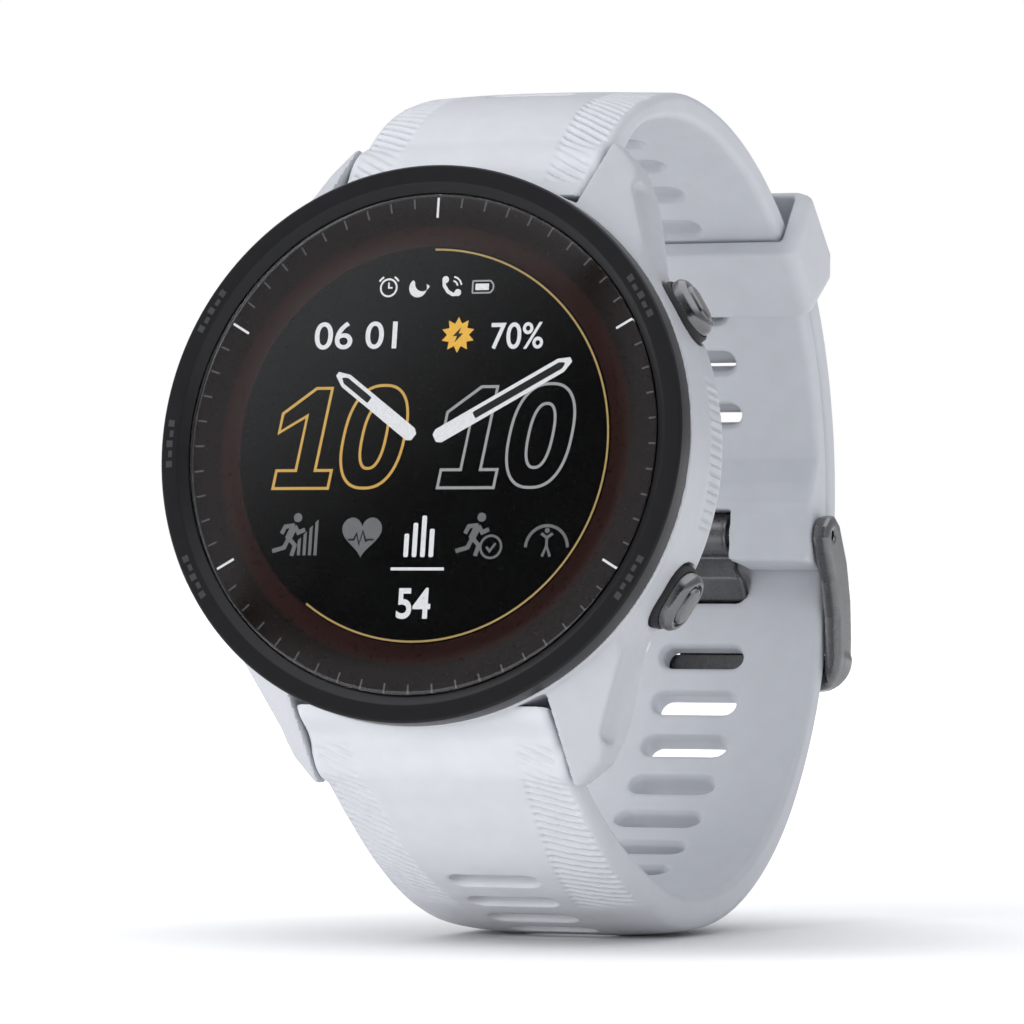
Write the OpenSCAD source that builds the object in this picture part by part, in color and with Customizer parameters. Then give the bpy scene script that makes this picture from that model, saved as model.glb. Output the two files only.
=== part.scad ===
// GPS running watch with a buckled silicone strap.
// Every part is drawn in the dial frame: X towards 3 o'clock, Y from the glass into the wrist,
// Z towards 12 o'clock, origin at the middle of the glass. stand() then sets the watch on its strap.

/* [Case] */
// Outside diameter of the bezel
bezel_d = 46.5; // [46:0.1:47]
// Height of the bezel ring
bezel_h = 2.1; // [1.9:0.1:2.3]
// How far the bezel stands in front of the glass
bezel_lip = 0.5; // [0.3:0.1:0.7]
// Diameter of the cover glass
glass_d = 41.8; // [41.6:0.1:42]
// Thickness of the cover glass
glass_t = 1.3; // [1.1:0.1:1.4]
// Depth of the middle case from the bezel to its back face
case_depth = 10.8; // [10.6:0.1:11]
// Thickness of the back cover
back_t = 1.1; // [0.9:0.1:1.3]
// Height of the optical sensor dome over the back cover
dome_h = 0.9; // [0.6:0.1:1.1]

/* [Strap] */
// Width of the strap
strap_w = 22.4; // [22:0.1:22.6]
// Thickness of the strap
strap_t = 2.4; // [2.2:0.1:2.5]
// Radius of the short strap's outer face round the wrist
wrist_r = 32.3; // [32.1:0.1:32.5]
// Radius of the long strap's outer face round the wrist
under_r = 33; // [32.9:0.1:33.1]
// Width of an adjustment slot
slot_w = 7.8; // [7:0.1:8.2]
// Height of an adjustment slot
slot_h = 2.1; // [1.9:0.1:2.3]
// Distance between adjustment slots along the long strap
slot_pitch = 4.75; // [4.6:0.05:4.9]
// Distance between slots along the short strap
short_pitch = 5.2; // [5:0.1:5.4]
// Height of the crown across the long strap's outer face under the wrist
crown_h = 1.1; // [0.8:0.1:1.2]
// Angle of the keeper up the strap from the height of the wrist's middle
keeper_angle = 49.8; // [49.2:0.2:50.4]

/* [Buttons] */
// Length of a button along the case
button_l = 5.2; // [5:0.1:5.6]
// Width of a button across the case
button_w = 3.8; // [3.6:0.1:3.9]
// How far a button moves in
button_travel = 0.6; // [0.4:0.1:0.6]
// Radius of a button stem
stem_r = 0.9; // [0.8:0.05:1]

/* [Stand] */
// Angle that the dial leans back as the watch stands on its strap
lean = 9; // [8:0.5:10]

/* [Hidden] */
$fn = 96;
eps = 0.01;
gap = 0.06;

// Case stack, as depths along Y
bezel_r = bezel_d / 2;
glass_r = glass_d / 2;
bezel_back = bezel_h - bezel_lip;
ledge_r = 20.95;
ledge_y = 3.2;
cavity_r = 19.6;
flank_r = 23;
case_back = bezel_back + case_depth;
back_y = case_back + back_t;
screw_r = 20.3;
screw_clock = 45;
mouth_r = 18.9;

// Lugs
lug_in = strap_w / 2 + 0.2;
lug_end_wall = 21.2;
lug_tip = 27.1;
pin_y = 10;
pin_z = 24.3;
pin_r = 0.9;
pin_bite = 1.1;

// Buttons, by their clock angle from 12 o'clock
start_clock = 57.8;
lap_clock = 120;
down_clock = 240;
up_clock = 270;
light_clock = 300;
clocks = [start_clock, lap_clock, down_clock, up_clock, light_clock];
button_y = 8.3;
pocket_gap = 0.45;
cap_out = 24.7;
cap_in = 22.7;
recess_r = 21.9;
bush_out = 21;
bush_r = 1.7;
clip_t = 0.4;
stem_in = 18.3;
switch_r = 17.6;

// Round stretches of the strap's outer faces
wrist_c = [35, 2];
under_c = [36.4, -2.4];
knuckle_r = 2.5;
lug_reach = 5.4;
upper_heading = 53.9;
lower_heading = 48;
tail_r = wrist_r + 0.2;
tail_out = tail_r + strap_t - 0.1;
tail_end = 50;
strap_end = -4.5;

// Buckle
hinge = [64.5, 2.7];
bar_r = 0.9;
eye_r = 2;
frame_in = strap_w / 2 + 0.2;
frame_t = 1.6;
frame_out = frame_in + frame_t;
tongue_t = 1;
tongue_w = 7;
curl_w = 5.4;
notch_w = 6.2;

// Keeper
keeper_half = 8.2;
keeper_wall = 1.3;
keeper_in = strap_w / 2 + 0.25;

// The stand: how far the watch reaches each way once it leans back
function lean_y(p) = p[0] * cos(lean) + p[1] * sin(lean);
function lean_z(p) = p[1] * cos(lean) - p[0] * sin(lean);
front_y = lean_y([-bezel_lip, -bezel_r]);
rear_y = lean_y(wrist_c) + tail_out;
floor_z = lean_z(under_c) - under_r - crown_h;
stand_x = (cap_out - bezel_r) / 2;

module stand() {
    translate([stand_x, -(front_y + rear_y) / 2, -floor_z]) rotate([-lean, 0, 0]) children();
}

// ---- helpers ----

// Revolves a profile of [radius, depth] points round the dial's axis
module dial_turn(profile) {
    rotate([-90, 0, 0]) rotate_extrude() polygon(profile);
}

// A disc of radius r from depth y0 to y1
module dial_disc(r, y0, y1) {
    translate([0, y0, 0]) rotate([-90, 0, 0]) cylinder(r = r, h = y1 - y0);
}

module dial_ring(r0, r1, y0, y1) {
    difference() {
        dial_disc(r1, y0, y1);
        dial_disc(r0, y0 - eps, y1 + eps);
    }
}

// Puts children at a clock angle and depth, their +Z pointing out of the case
module at_clock(clock, depth) {
    rotate([0, clock, 0]) translate([0, depth, 0]) children();
}

// Extrudes an outline of [depth, height] points across the watch from x0 to x1
module across(outline, x0, x1) {
    translate([x0, 0, 0]) rotate([90, 0, 90]) linear_extrude(x1 - x0) polygon(outline);
}

// Extrudes an outline of [x, z] points from depth y0 to y1
module inward(outline, y0, y1) {
    translate([0, y1, 0]) rotate([90, 0, 0]) linear_extrude(y1 - y0) polygon(outline);
}

// A rod along X through a [depth, height] point
module rod(p, r, x0, x1) {
    translate([x0, p[0], p[1]]) rotate([0, 90, 0]) cylinder(r = r, h = x1 - x0, $fn = 48);
}

// A block between two corners
module block(low, high) {
    translate(low) cube(high - low);
}

// Flat outline with two round ends
module stadium(l, w) {
    union() {
        square([l - w, w], center = true);
        for (s = [-1, 1]) translate([s * (l - w) / 2, 0]) circle(d = w, $fn = 48);
    }
}

// Points of an arc about c from angle a0 to a1
function arc(c, r, a0, a1) =
    let (n = max(2, ceil(abs(a1 - a0) / 4)))
    [for (i = [0:n]) let (a = a0 + (a1 - a0) * i / n) c + r * [cos(a), sin(a)]];

function flip(points) = [for (p = points) [p[0], -p[1]]];
function rest(points) = [for (i = [1:len(points) - 1]) points[i]];
function back_to_front(points) = [for (i = [len(points) - 1:-1:0]) points[i]];

// A strap's face leaves the knuckle at one heading, bends by an arc of radius r to another heading,
// then a blend arc carries it tangent onto the circle of radius wrap_r about wrap_c.
function left_of(h) = [-sin(h), cos(h)];
function lug_start(h, run) = [pin_y, pin_z] + knuckle_r * left_of(h) + run * [cos(h), sin(h)];
function blend_r(p, h, c, r) =
    let (d = p - c, u = -left_of(h)) (r * r - d * d) / (2 * (d * u + r));
function face(h0, run, r, h1, wrap_c, wrap_r, wrap_end) =
    let (
        p0 = lug_start(h0, run),
        c1 = p0 - r * left_of(h0),
        p1 = c1 + r * left_of(h1),
        r2 = blend_r(p1, h1, wrap_c, wrap_r),
        c2 = p1 - r2 * left_of(h1),
        n = (c2 - wrap_c) / (wrap_r - r2),
        a2 = atan2(n[1], n[0])
    )
    concat([lug_start(h0, -lug_reach)], arc(c1, r, h0 + 90, h1 + 90), rest(arc(c2, r2, h1 + 90, a2)),
        rest(arc(wrap_c, wrap_r, a2, wrap_end)));

// The inner face lies one thickness in, which falls from the lug to the plain strap
function unit(v) = v / norm(v);
function normal_at(f, i) =
    let (t = unit(f[min(i + 1, len(f) - 1)] - f[max(i - 1, 0)])) [t[1], -t[0]];
function thickness(i, n) = strap_t + 2.2 * pow(max(0, 1 - i / n * 2.8), 2);
function inner(f) = [for (i = [0:len(f) - 1]) f[i] + thickness(i, len(f)) * normal_at(f, i)];
function band(f) = concat(f, back_to_front(inner(f)));

// The long strap's crown: full under the wrist, sinking into the plain face towards both ends.
// Its rings stand across the face as [x, height] points.
function smooth(t) = let (u = min(1, max(0, t))) u * u * (3 - 2 * u);
function crown_at(a) = crown_h * smooth((136 - a) / 18) * smooth((a - 26) / 16);
function crown_ring(h) = [[-10.9, -0.9], [-10.9, -0.05], [-10.2, 0.47 * h], [-7.5, 0.84 * h],
    [-3, h], [3, h], [7.5, 0.84 * h], [10.2, 0.47 * h], [10.9, -0.05], [10.9, -0.9]];

module crown(f, c) {
    out = offset_line(f, 1) - f;
    angles = [for (p = f) atan2(p[1] - c[1], p[0] - c[0])];
    at = [for (i = [0:len(f) - 1]) if (crown_at(angles[i]) > 0.01) i];
    n = 10;
    last = (len(at) - 1) * n;
    polyhedron(
        [for (i = at, q = crown_ring(crown_at(angles[i])))
            let (p = f[i] + q[1] * out[i]) [q[0], p[0], p[1]]],
        concat([[for (j = [0:n - 1]) j]],
            [for (i = [0:len(at) - 2], j = [0:n - 1], k = [0, 1])
                let (a = i * n + j, b = i * n + (j + 1) % n) k == 0 ? [a, b + n, b] : [a, a + n, b + n]],
            [[for (j = [n - 1:-1:0]) last + j]]));
}

// ---- bezel, glass and display ----

module bezel() {
    color("#26272b") dial_turn([
        [glass_r + gap, glass_t], [glass_r + gap, 0.15], [21.75, -bezel_lip],
        [bezel_r - 0.15, -bezel_lip], [bezel_r, -bezel_lip + 0.15],
        [bezel_r, bezel_back - 0.2], [bezel_r - 0.2, bezel_back], [21.5, bezel_back],
        [21.5, glass_t]]);
}

module bezel_gasket() {
    color("#1b1b1d") dial_ring(ledge_r + 0.05, 21.5, glass_t, bezel_back);
}

module cover_glass() {
    color("#101014", 0.6) dial_turn([
        [0, 0], [glass_r - 0.25, 0], [glass_r, 0.25], [glass_r, glass_t], [0, glass_t]]);
}

module solar_ring() {
    color("#3a1d16") dial_ring(16.6, 20.7, glass_t, 1.6);
}

module display_panel() {
    color("#0c0c0e") dial_disc(16.5, glass_t, 2.8);
}

module display_frame() {
    color("#34363a") difference() {
        dial_disc(ledge_r - 0.05, 1.6, ledge_y);
        dial_disc(16.55, 1.6 - eps, 2.8 + eps);
        block([-9, 2, -14], [9, ledge_y + 1, -9]);
    }
}

module antenna_ring() {
    color("#c7a257") dial_ring(18.1, 19.4, ledge_y + 0.1, ledge_y + 0.6);
}

// ---- middle case ----

// Outlines of one lug: [x, height] from the front, [x, depth] from above, [depth, height] from the side.
// Its front is one plane, at lug_facet on the inner wall, that leans back upwards and outwards.
lug_front = [[lug_in, 12], [18.6, 12], [17.1, 17], [15.2, 21.4], [13.9, 24.9], [11.9, lug_tip],
    [lug_in, lug_tip]];
lug_plan = [[lug_in, bezel_back], [17.4, bezel_back], [17.4, 9.4], [15, case_back + 0.6],
    [lug_in, case_back + 0.6]];
lug_side = [[bezel_back, 12], [bezel_back, lug_tip - 1], [8.7, lug_tip], [9.8, lug_tip],
    [11.2, 26.8], [case_back, 25], [case_back + 0.5, 23], [case_back + 0.5, 19.5],
    [case_back, 18.5], [case_back, 12]];

lug_facet = [lug_in, 3.2, 21.3];

module lug(sx, sz) {
    scale_mirror(sx, sz) difference() {
        intersection() {
            inward(lug_front, 0, case_back + 1);
            across(lug_side, 0, 30);
            linear_extrude(30) polygon(lug_plan);
        }
        translate(lug_facet) rotate([0, -37, -45]) translate([0, -30, -30]) cube([30, 60, 60]);
    }
}

module scale_mirror(sx, sz) {
    mirror([sx < 0 ? 1 : 0, 0, 0]) mirror([0, 0, sz < 0 ? 1 : 0]) children();
}

module flank() {
    dial_turn([
        [0, bezel_back], [bezel_r, bezel_back], [bezel_r + 0.1, bezel_back + 0.3],
        [flank_r + 0.05, bezel_back + 1.2], [flank_r, 5], [flank_r, 9.6], [flank_r - 0.6, 11],
        [flank_r - 1.6, 12], [flank_r - 3, case_back], [0, case_back]]);
}

module button_opening(clock) {
    at_clock(clock, button_y) {
        translate([0, 0, recess_r]) linear_extrude(5) 
            stadium(button_l + 2 * pocket_gap, button_w + 2 * pocket_gap);
        translate([0, 0, 15]) cylinder(r = bush_r, h = recess_r - 15 + eps);
    }
}

module mid_case() {
    color("#ccd0d8") difference() {
        union() {
            difference() {
                flank();
                for (s = [-1, 1])
                    block([-lug_in, 2.3, s > 0 ? lug_end_wall : -30],
                        [lug_in, 20, s > 0 ? 30 : -lug_end_wall]);
            }
            for (sx = [-1, 1], sz = [-1, 1]) lug(sx, sz);
        }
        dial_disc(ledge_r, 0, ledge_y);
        dial_disc(cavity_r, 1, case_back - 1.2);
        dial_disc(mouth_r, 1, case_back + 2);
        for (c = clocks) button_opening(c);
        for (s = [-1, 1])
            rod([pin_y, s * pin_z], pin_r + 0.02, -lug_in - pin_bite, lug_in + pin_bite);
        for (i = [0:3]) at_clock(screw_clock + 90 * i, case_back)
            translate([0, -5, screw_r]) rotate([-90, 0, 0]) cylinder(r = 0.6, h = 8, $fn = 32);
        at_clock(screw_clock, 0) translate([0, 6.2, 17]) cylinder(r = 1.1, h = 12, $fn = 32);
    }
}

// Vent of the air pressure sensor, in a drilling near the 2 o'clock lug
module pressure_vent() {
    color("#3a3c40") at_clock(screw_clock, 6.2) translate([0, 0, 21])
        difference() {
            cylinder(r = 1.1, h = 1.4, $fn = 32);
            translate([0, 0, 0.5]) cylinder(r = 0.5, h = 1, $fn = 24);
        }
}

// ---- inside ----

module main_board() {
    color("#1f5b3a") difference() {
        dial_disc(17.2, 4.1, 4.9);
        block([-4, 4, -18], [4, 5, -14.5]);
        at_clock(screw_clock, 4) translate([0, 0, 15.5]) rotate([-90, 0, 0])
            cylinder(r = 0.8, h = 2, $fn = 24);
    }
}

module board_shields() {
    color("#b9bcc0") {
        block([-10, 4.9, 2], [0, 6.1, 12]);
        block([2, 4.9, 3], [10, 6.1, 11]);
    }
}

module battery() {
    color("#7c8085") block([-13, 6.4, -12], [13, 10.6, 9]);
}

module vibration_motor() {
    color("#a9adb2") translate([0, 0, 14.3]) dial_disc(3.9, 6.4, 9.1);
}

module buzzer() {
    color("#c9a24c") translate([8, 0, 13.2]) dial_disc(3.4, 9.6, 10.8);
}

module button_switches() {
    color("#4b4e53") for (c = clocks)
        at_clock(c, button_y) {
            translate([-1.6, -1.6, switch_r - 1.4]) cube([3.2, 3.2, 1]);
            translate([0, 0, switch_r - 0.5]) cylinder(r = 0.8, h = 0.5, $fn = 32);
        }
}

module button_bushes() {
    color("#8d9095") for (c = clocks)
        at_clock(c, button_y) translate([0, 0, cavity_r - 0.2]) difference() {
            cylinder(r = bush_r, h = bush_out - cavity_r + 0.2);
            translate([0, 0, -1]) cylinder(r = stem_r + gap, h = 4);
        }
}

module button_seals() {
    color("#17181a") for (c = clocks)
        at_clock(c, button_y) translate([0, 0, bush_out]) difference() {
            cylinder(r = bush_r, h = recess_r - bush_out - 0.1);
            translate([0, 0, -1]) cylinder(r = stem_r + gap, h = 4);
        }
}

// ---- buttons ----

module button(clock) {
    color("#7f8184") at_clock(clock, button_y) {
        difference() {
            union() {
                translate([0, 0, cap_in]) linear_extrude(cap_out - cap_in - 0.5)
                    stadium(button_l, button_w);
                translate([0, 0, cap_out - 0.5]) linear_extrude(0.5)
                    stadium(button_l - 0.6, button_w - 0.6);
                translate([0, 0, stem_in]) cylinder(r = stem_r, h = cap_in - stem_in + eps);
            }
            translate([0, 0, cap_out - 0.25]) linear_extrude(1)
                difference() {
                    stadium(button_l - 1.8, button_w - 1.8);
                    stadium(button_l - 2.4, button_w - 2.4);
                }
            translate([0, 0, clip_z]) difference() {
                cylinder(r = 2, h = clip_t);
                cylinder(r = stem_r - 0.25, h = clip_t);
            }
        }
    }
}

clip_z = cavity_r - 0.2 - 0.05 - clip_t;

module clip(clock) {
    color("#a7aaae") at_clock(clock, button_y) translate([0, 0, clip_z]) difference() {
        cylinder(r = 1.6, h = clip_t, $fn = 48);
        translate([0, 0, -1]) cylinder(r = stem_r - 0.25, h = 3, $fn = 48);
        translate([-0.5, 0, -1]) cube([1, 3, 3]);
    }
}

module start_button() { button(start_clock); }
module lap_button() { button(lap_clock); }
module down_button() { button(down_clock); }
module up_button() { button(up_clock); }
module light_button() { button(light_clock); }
module start_clip() { clip(start_clock); }
module lap_clip() { clip(lap_clock); }
module down_clip() { clip(down_clock); }
module up_clip() { clip(up_clock); }
module light_clip() { clip(light_clock); }

// ---- back ----

socket_z = -13.2;

module back_gasket() {
    color("#17181a") dial_ring(mouth_r - 1, mouth_r, case_back - 0.7, case_back);
}

module back_cover() {
    color("#e3e5e8") difference() {
        union() {
            dial_disc(mouth_r - 1.05, case_back - 1.2, case_back);
            dial_turn([[0, case_back], [19.9, case_back], [19.6, back_y - 0.3],
                [19.2, back_y], [0, back_y]]);
            for (i = [0:3]) at_clock(screw_clock + 90 * i, case_back)
                translate([0, 0, screw_r]) rotate([-90, 0, 0]) cylinder(r = 1.7, h = back_t);
            dial_turn([[0, back_y], [12, back_y], [10.2, back_y + 0.6], [0, back_y + 0.6]]);
        }
        dial_disc(mouth_r - 2.4, case_back - 2, case_back - 0.2);
        dial_disc(7.6, case_back - 1, back_y + 2);
        for (i = [0:3]) at_clock(screw_clock + 90 * i, case_back)
            translate([0, -1, screw_r]) rotate([-90, 0, 0]) {
                cylinder(r = 0.75, h = 4, $fn = 32);
                translate([0, 0, 1 + back_t - 0.55]) cylinder(r = 1.25, h = 2, $fn = 48);
            }
        block([-3.6, case_back - 2, socket_z - 1.6], [3.6, back_y + 2, socket_z + 1.6]);
    }
}

module back_screws() {
    color("#9b9ea3") for (i = [0:3]) at_clock(screw_clock + 90 * i, case_back)
        translate([0, 0, screw_r]) rotate([-90, 0, 0]) difference() {
            union() {
                translate([0, 0, back_t - 0.55]) cylinder(r = 1.2, h = 0.5, $fn = 48);
                translate([0, 0, -3]) cylinder(r = 0.6, h = 3 + back_t - 0.5, $fn = 32);
            }
            translate([0, 0, back_t - 0.35]) cylinder(r = 0.6, h = 1, $fn = 6);
        }
}

module sensor_board() {
    color("#1f5b3a") union() {
        dial_disc(7.2, 11.2, 11.9);
        for (p = [[-4.4, 0], [4.4, 0], [0, 4.4], [0, -4.4]])
            translate([p[0], 11.9, p[1]]) rotate([-90, 0, 0]) cylinder(r = 0.9, h = 0.5, $fn = 24);
        block([-1.5, 11.9, -1.5], [1.5, 12.5, 1.5]);
    }
}

module sensor_window() {
    color("#1a1a20") dial_turn([[0, case_back + 0.5], [7.6, case_back + 0.5], [7.6, back_y + 0.6],
        [6.6, back_y + dome_h], [0, back_y + dome_h]]);
}

module charge_socket() {
    color("#232427") difference() {
        block([-3.6, case_back - 0.6, socket_z - 1.6], [3.6, back_y - 0.4, socket_z + 1.6]);
        for (i = [0:3]) translate([-2.4 + 1.6 * i, 0, socket_z]) dial_disc(0.4, 11, 20);
    }
}

module charge_pins() {
    color("#d3b265") for (i = [0:3])
        translate([-2.4 + 1.6 * i, 0, socket_z]) dial_disc(0.4, case_back - 0.6, back_y - 0.25);
}

// ---- strap ----

module lug_bar(s) {
    color("#a7aaae") {
        rod([pin_y, s * pin_z], pin_r, -lug_in, lug_in);
        for (m = [-1, 1])
            rod([pin_y, s * pin_z], 0.6, m > 0 ? lug_in - eps : -lug_in - pin_bite + 0.1,
                m > 0 ? lug_in + pin_bite - 0.1 : -lug_in + eps);
    }
}

module upper_lug_bar() { lug_bar(1); }
module lower_lug_bar() { lug_bar(-1); }

// Finger levers that draw the lug bars in, in slots at the back of each strap end
module bar_levers() {
    color("#9b9ea3") for (s = [-1, 1])
        translate([6.5, pin_y + pin_r, s * pin_z]) rotate([-90, 0, 0]) {
            cylinder(r = 0.35, h = 1.9, $fn = 24);
            translate([0, 0, 1.5]) cylinder(r = 0.8, h = 0.7, $fn = 32);
        }
}

upper_face = face(upper_heading, 1, 18, 20, wrist_c, wrist_r, strap_end);
lower_face = face(lower_heading, 0.3, 7.7, 30, [under_c[0], -under_c[1]], under_r, 2.5);

// A slot through the strap at an angle about a wrap centre
module slot_at(c, r, angle) {
    translate([0, c[0], c[1]]) rotate([angle, 0, 0]) translate([0, r, 0]) rotate([90, 0, 0])
        translate([0, 0, -6]) linear_extrude(12) stadium(slot_w, slot_h);
}

function step_deg(pitch, r) = pitch / r * 180 / PI;

module knuckle(s) {
    rod([pin_y, s * pin_z], knuckle_r - 0.05, -strap_w / 2, strap_w / 2);
}

// What a strap end leaves free for the case
module lug_wall(s) {
    block([-20, 0, s > 0 ? 0 : -lug_end_wall - 0.3], [20, case_back + 1, s > 0 ? lug_end_wall + 0.3 : 0]);
}

module lever_slot(s) {
    rod([pin_y, s * pin_z], pin_r, -20, 20);
    block([5.4, pin_y, s * pin_z - 1], [9.4, pin_y + 4, s * pin_z + 1]);
}

module short_strap() {
    color("#ccd0d8") difference() {
        union() {
            across(band(upper_face), -strap_w / 2, strap_w / 2);
            knuckle(1);
            rod(hinge, eye_r, -strap_w / 2, strap_w / 2);
        }
        lug_wall(1);
        lever_slot(1);
        rod(hinge, bar_r, -20, 20);
        block([-notch_w / 2, hinge[0] - 5, -5], [notch_w / 2, hinge[0] + 5, hinge[1] + 2.6]);
        block([-tongue_w / 2 - 0.3, hinge[0] - 5, -5], [tongue_w / 2 + 0.3, hinge[0] + 5, 0.8]);
        for (i = [0:10]) slot_at(wrist_c, wrist_r, 22.5 + step_deg(short_pitch, wrist_r - 1) * i);
    }
}

// The tail passes out through the buckle and lies over the short strap
tail_join = arc(wrist_c, tail_out, 0, tail_end);
tail_tip = arc(wrist_c, tail_r, tail_end, 0);
tail = concat(
    [under_c + under_r * [cos(-2.5), sin(-2.5)]], tail_join,
    [wrist_c + (tail_r + strap_t / 2 - 0.1) * [cos(tail_end + 2), sin(tail_end + 2)]],
    tail_tip, [under_c + (under_r - strap_t) * [cos(-2.5), sin(-2.5)]]);

// Path of the tongue's middle: round the bar, down, out through the slot and over the crossbar
tongue_y = hinge[0] + bar_r + gap + tongue_t / 2;
cross_in = [tongue_y, -0.9];
cross_out = [70.1, -5];
tongue_tip = [[70.95, -7.5], [70.95, -10.3]];

module tongue_slot() {
    d = unit(cross_out - cross_in);
    n = [-d[1], d[0]];
    mid = (cross_in + cross_out) / 2;
    low = 0.75;
    high = 1.65;
    block_outline = [mid - 6 * d - low * n, mid + 6 * d - low * n,
        mid + 6 * d + high * n, mid - 6 * d + high * n];
    across(block_outline, -slot_w / 2, slot_w / 2);
}

module long_strap() {
    color("#ccd0d8") difference() {
        union() {
            across(flip(band(lower_face)), -strap_w / 2, strap_w / 2);
            across(tail, -strap_w / 2, strap_w / 2);
            knuckle(-1);
            mirror([0, 0, 1]) crown(lower_face, [under_c[0], -under_c[1]]);
        }
        lug_wall(-1);
        lever_slot(-1);
        tongue_slot();
        for (i = [0:13])
            slot_at(under_c, under_r - 1,
                0.785 * max(0, i - 6) - 10.9 - step_deg(slot_pitch, under_r - 1) * i);
        for (i = [0:4]) slot_at(wrist_c, tail_r, 12 + step_deg(slot_pitch, tail_r + 1) * i);
    }
}

module keeper() {
    r0 = wrist_r - strap_t - 0.25;
    r1 = tail_out + 0.3;
    a0 = keeper_angle - keeper_half;
    a1 = keeper_angle + keeper_half;
    ridge = wrist_c + (r1 + keeper_wall + 0.5) * [cos(a0 + 3.5), sin(a0 + 3.5)];
    crown = wrist_c + (r1 + keeper_wall + 0.1) * [cos(a1 - 2), sin(a1 - 2)];
    outside = concat(arc(wrist_c, r0 - keeper_wall, a1 - 1, a0 + 1),
        [wrist_c + r0 * [cos(a0), sin(a0)], wrist_c + (r1 + 0.2) * [cos(a0), sin(a0)],
        ridge, crown, wrist_c + (r1 + 0.4) * [cos(a1), sin(a1)],
        wrist_c + r0 * [cos(a1), sin(a1)]]);
    hollow = concat(arc(wrist_c, r0, a1 + 4, a0 - 4), arc(wrist_c, r1, a0 - 4, a1 + 4));
    color("#ccd0d8") difference() {
        across(outside, -keeper_in - keeper_wall, keeper_in + keeper_wall);
        across(hollow, -keeper_in, keeper_in);
    }
}

// ---- buckle ----

bar_base = -11;
arm_outline = [[63, 4.1], [64.6, 4.7], [66.2, 3.9], [68.5, 0.8], [70.2, -2.4], [71.2, -6], [71.3, -8.6],
    [70.9, bar_base + 0.2], [69.3, bar_base], [69.25, -8], [69.1, -5.4], [68.3, -3.4], [66.8, -1.3],
    [64.8, 0.6], [63.2, 1.2]];
bar_outline = [[69.2, -7.6], [71.3, -7.6], [71.3, -8.6], [70.9, bar_base + 0.2], [69.3, bar_base]];

// The frame's outline from outside: square at the hinge, round at the crossbar's corners
module frame_corners() {
    r = 3.4;
    w = frame_out;
    translate([0, 90, 0]) rotate([90, 0, 0]) linear_extrude(40) union() {
        translate([-w, bar_base - 0.1 + r]) square([2 * w, 20]);
        translate([-w + r, bar_base - 0.1]) square([2 * (w - r), 20]);
        for (s = [-1, 1]) translate([s * (w - r), bar_base - 0.1 + r]) circle(r = r, $fn = 64);
    }
}

module buckle_frame() {
    color("#6d6f70") difference() {
        intersection() {
            union() {
                for (s = [-1, 1])
                    across(arm_outline, s > 0 ? frame_in : -frame_out, s > 0 ? frame_out : -frame_in);
                across(bar_outline, -frame_out, frame_out);
            }
            frame_corners();
        }
        rod(hinge, bar_r + gap, -frame_out + 0.5, frame_out - 0.5);
        block([-tongue_w / 2 - 0.4, 70.4, -20], [tongue_w / 2 + 0.4, 80, 0]);
    }
}

// A plate that follows a line of [depth, height] points, t thick
function offset_line(pts, d) = [for (i = [0:len(pts) - 1])
    let (
        a = i > 0 ? unit(pts[i] - pts[i - 1]) : unit(pts[1] - pts[0]),
        b = i < len(pts) - 1 ? unit(pts[i + 1] - pts[i]) : a,
        m = unit(a + b),
        k = d / max(0.5, m * a)
    ) pts[i] + k * [-m[1], m[0]]];
function ribbon(pts, t) = concat(offset_line(pts, t / 2), back_to_front(offset_line(pts, -t / 2)));

module buckle_tongue() {
    color("#6d6f70") difference() {
        union() {
            rod(hinge, bar_r + gap + tongue_t, -curl_w / 2, curl_w / 2);
            across(ribbon([[tongue_y, hinge[1]], [tongue_y, 0.2]], tongue_t), -curl_w / 2, curl_w / 2);
            across(ribbon(concat([[tongue_y, 0.3], cross_in, cross_out], tongue_tip), tongue_t),
                -tongue_w / 2, tongue_w / 2);
        }
        rod(hinge, bar_r + gap, -10, 10);
    }
}

module buckle_bar() {
    color("#a7aaae") rod(hinge, bar_r, -frame_out + 0.6, frame_out - 0.6);
}

stand() bezel();
stand() bezel_gasket();
stand() cover_glass();
stand() solar_ring();
stand() display_panel();
stand() display_frame();
stand() antenna_ring();
stand() mid_case();
stand() main_board();
stand() board_shields();
stand() battery();
stand() vibration_motor();
stand() buzzer();
stand() pressure_vent();
stand() button_switches();
stand() button_bushes();
stand() button_seals();
stand() start_button();
stand() lap_button();
stand() down_button();
stand() up_button();
stand() light_button();
stand() start_clip();
stand() lap_clip();
stand() down_clip();
stand() up_clip();
stand() light_clip();
stand() back_gasket();
stand() back_cover();
stand() back_screws();
stand() sensor_board();
stand() sensor_window();
stand() charge_socket();
stand() charge_pins();
stand() upper_lug_bar();
stand() lower_lug_bar();
stand() bar_levers();
stand() short_strap();
stand() long_strap();
stand() keeper();
stand() buckle_frame();
stand() buckle_tongue();
stand() buckle_bar();
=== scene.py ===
"""Looks of the GPS running watch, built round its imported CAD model.

Shapes are drawn in the dial frame, in millimetres: X towards 3 o'clock, Y from the glass into
the wrist, Z towards 12 o'clock, with the origin at the middle of the glass. to_row() carries
them into the row frame, in metres, where the dial leans back on its strap.
"""
import math

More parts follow.
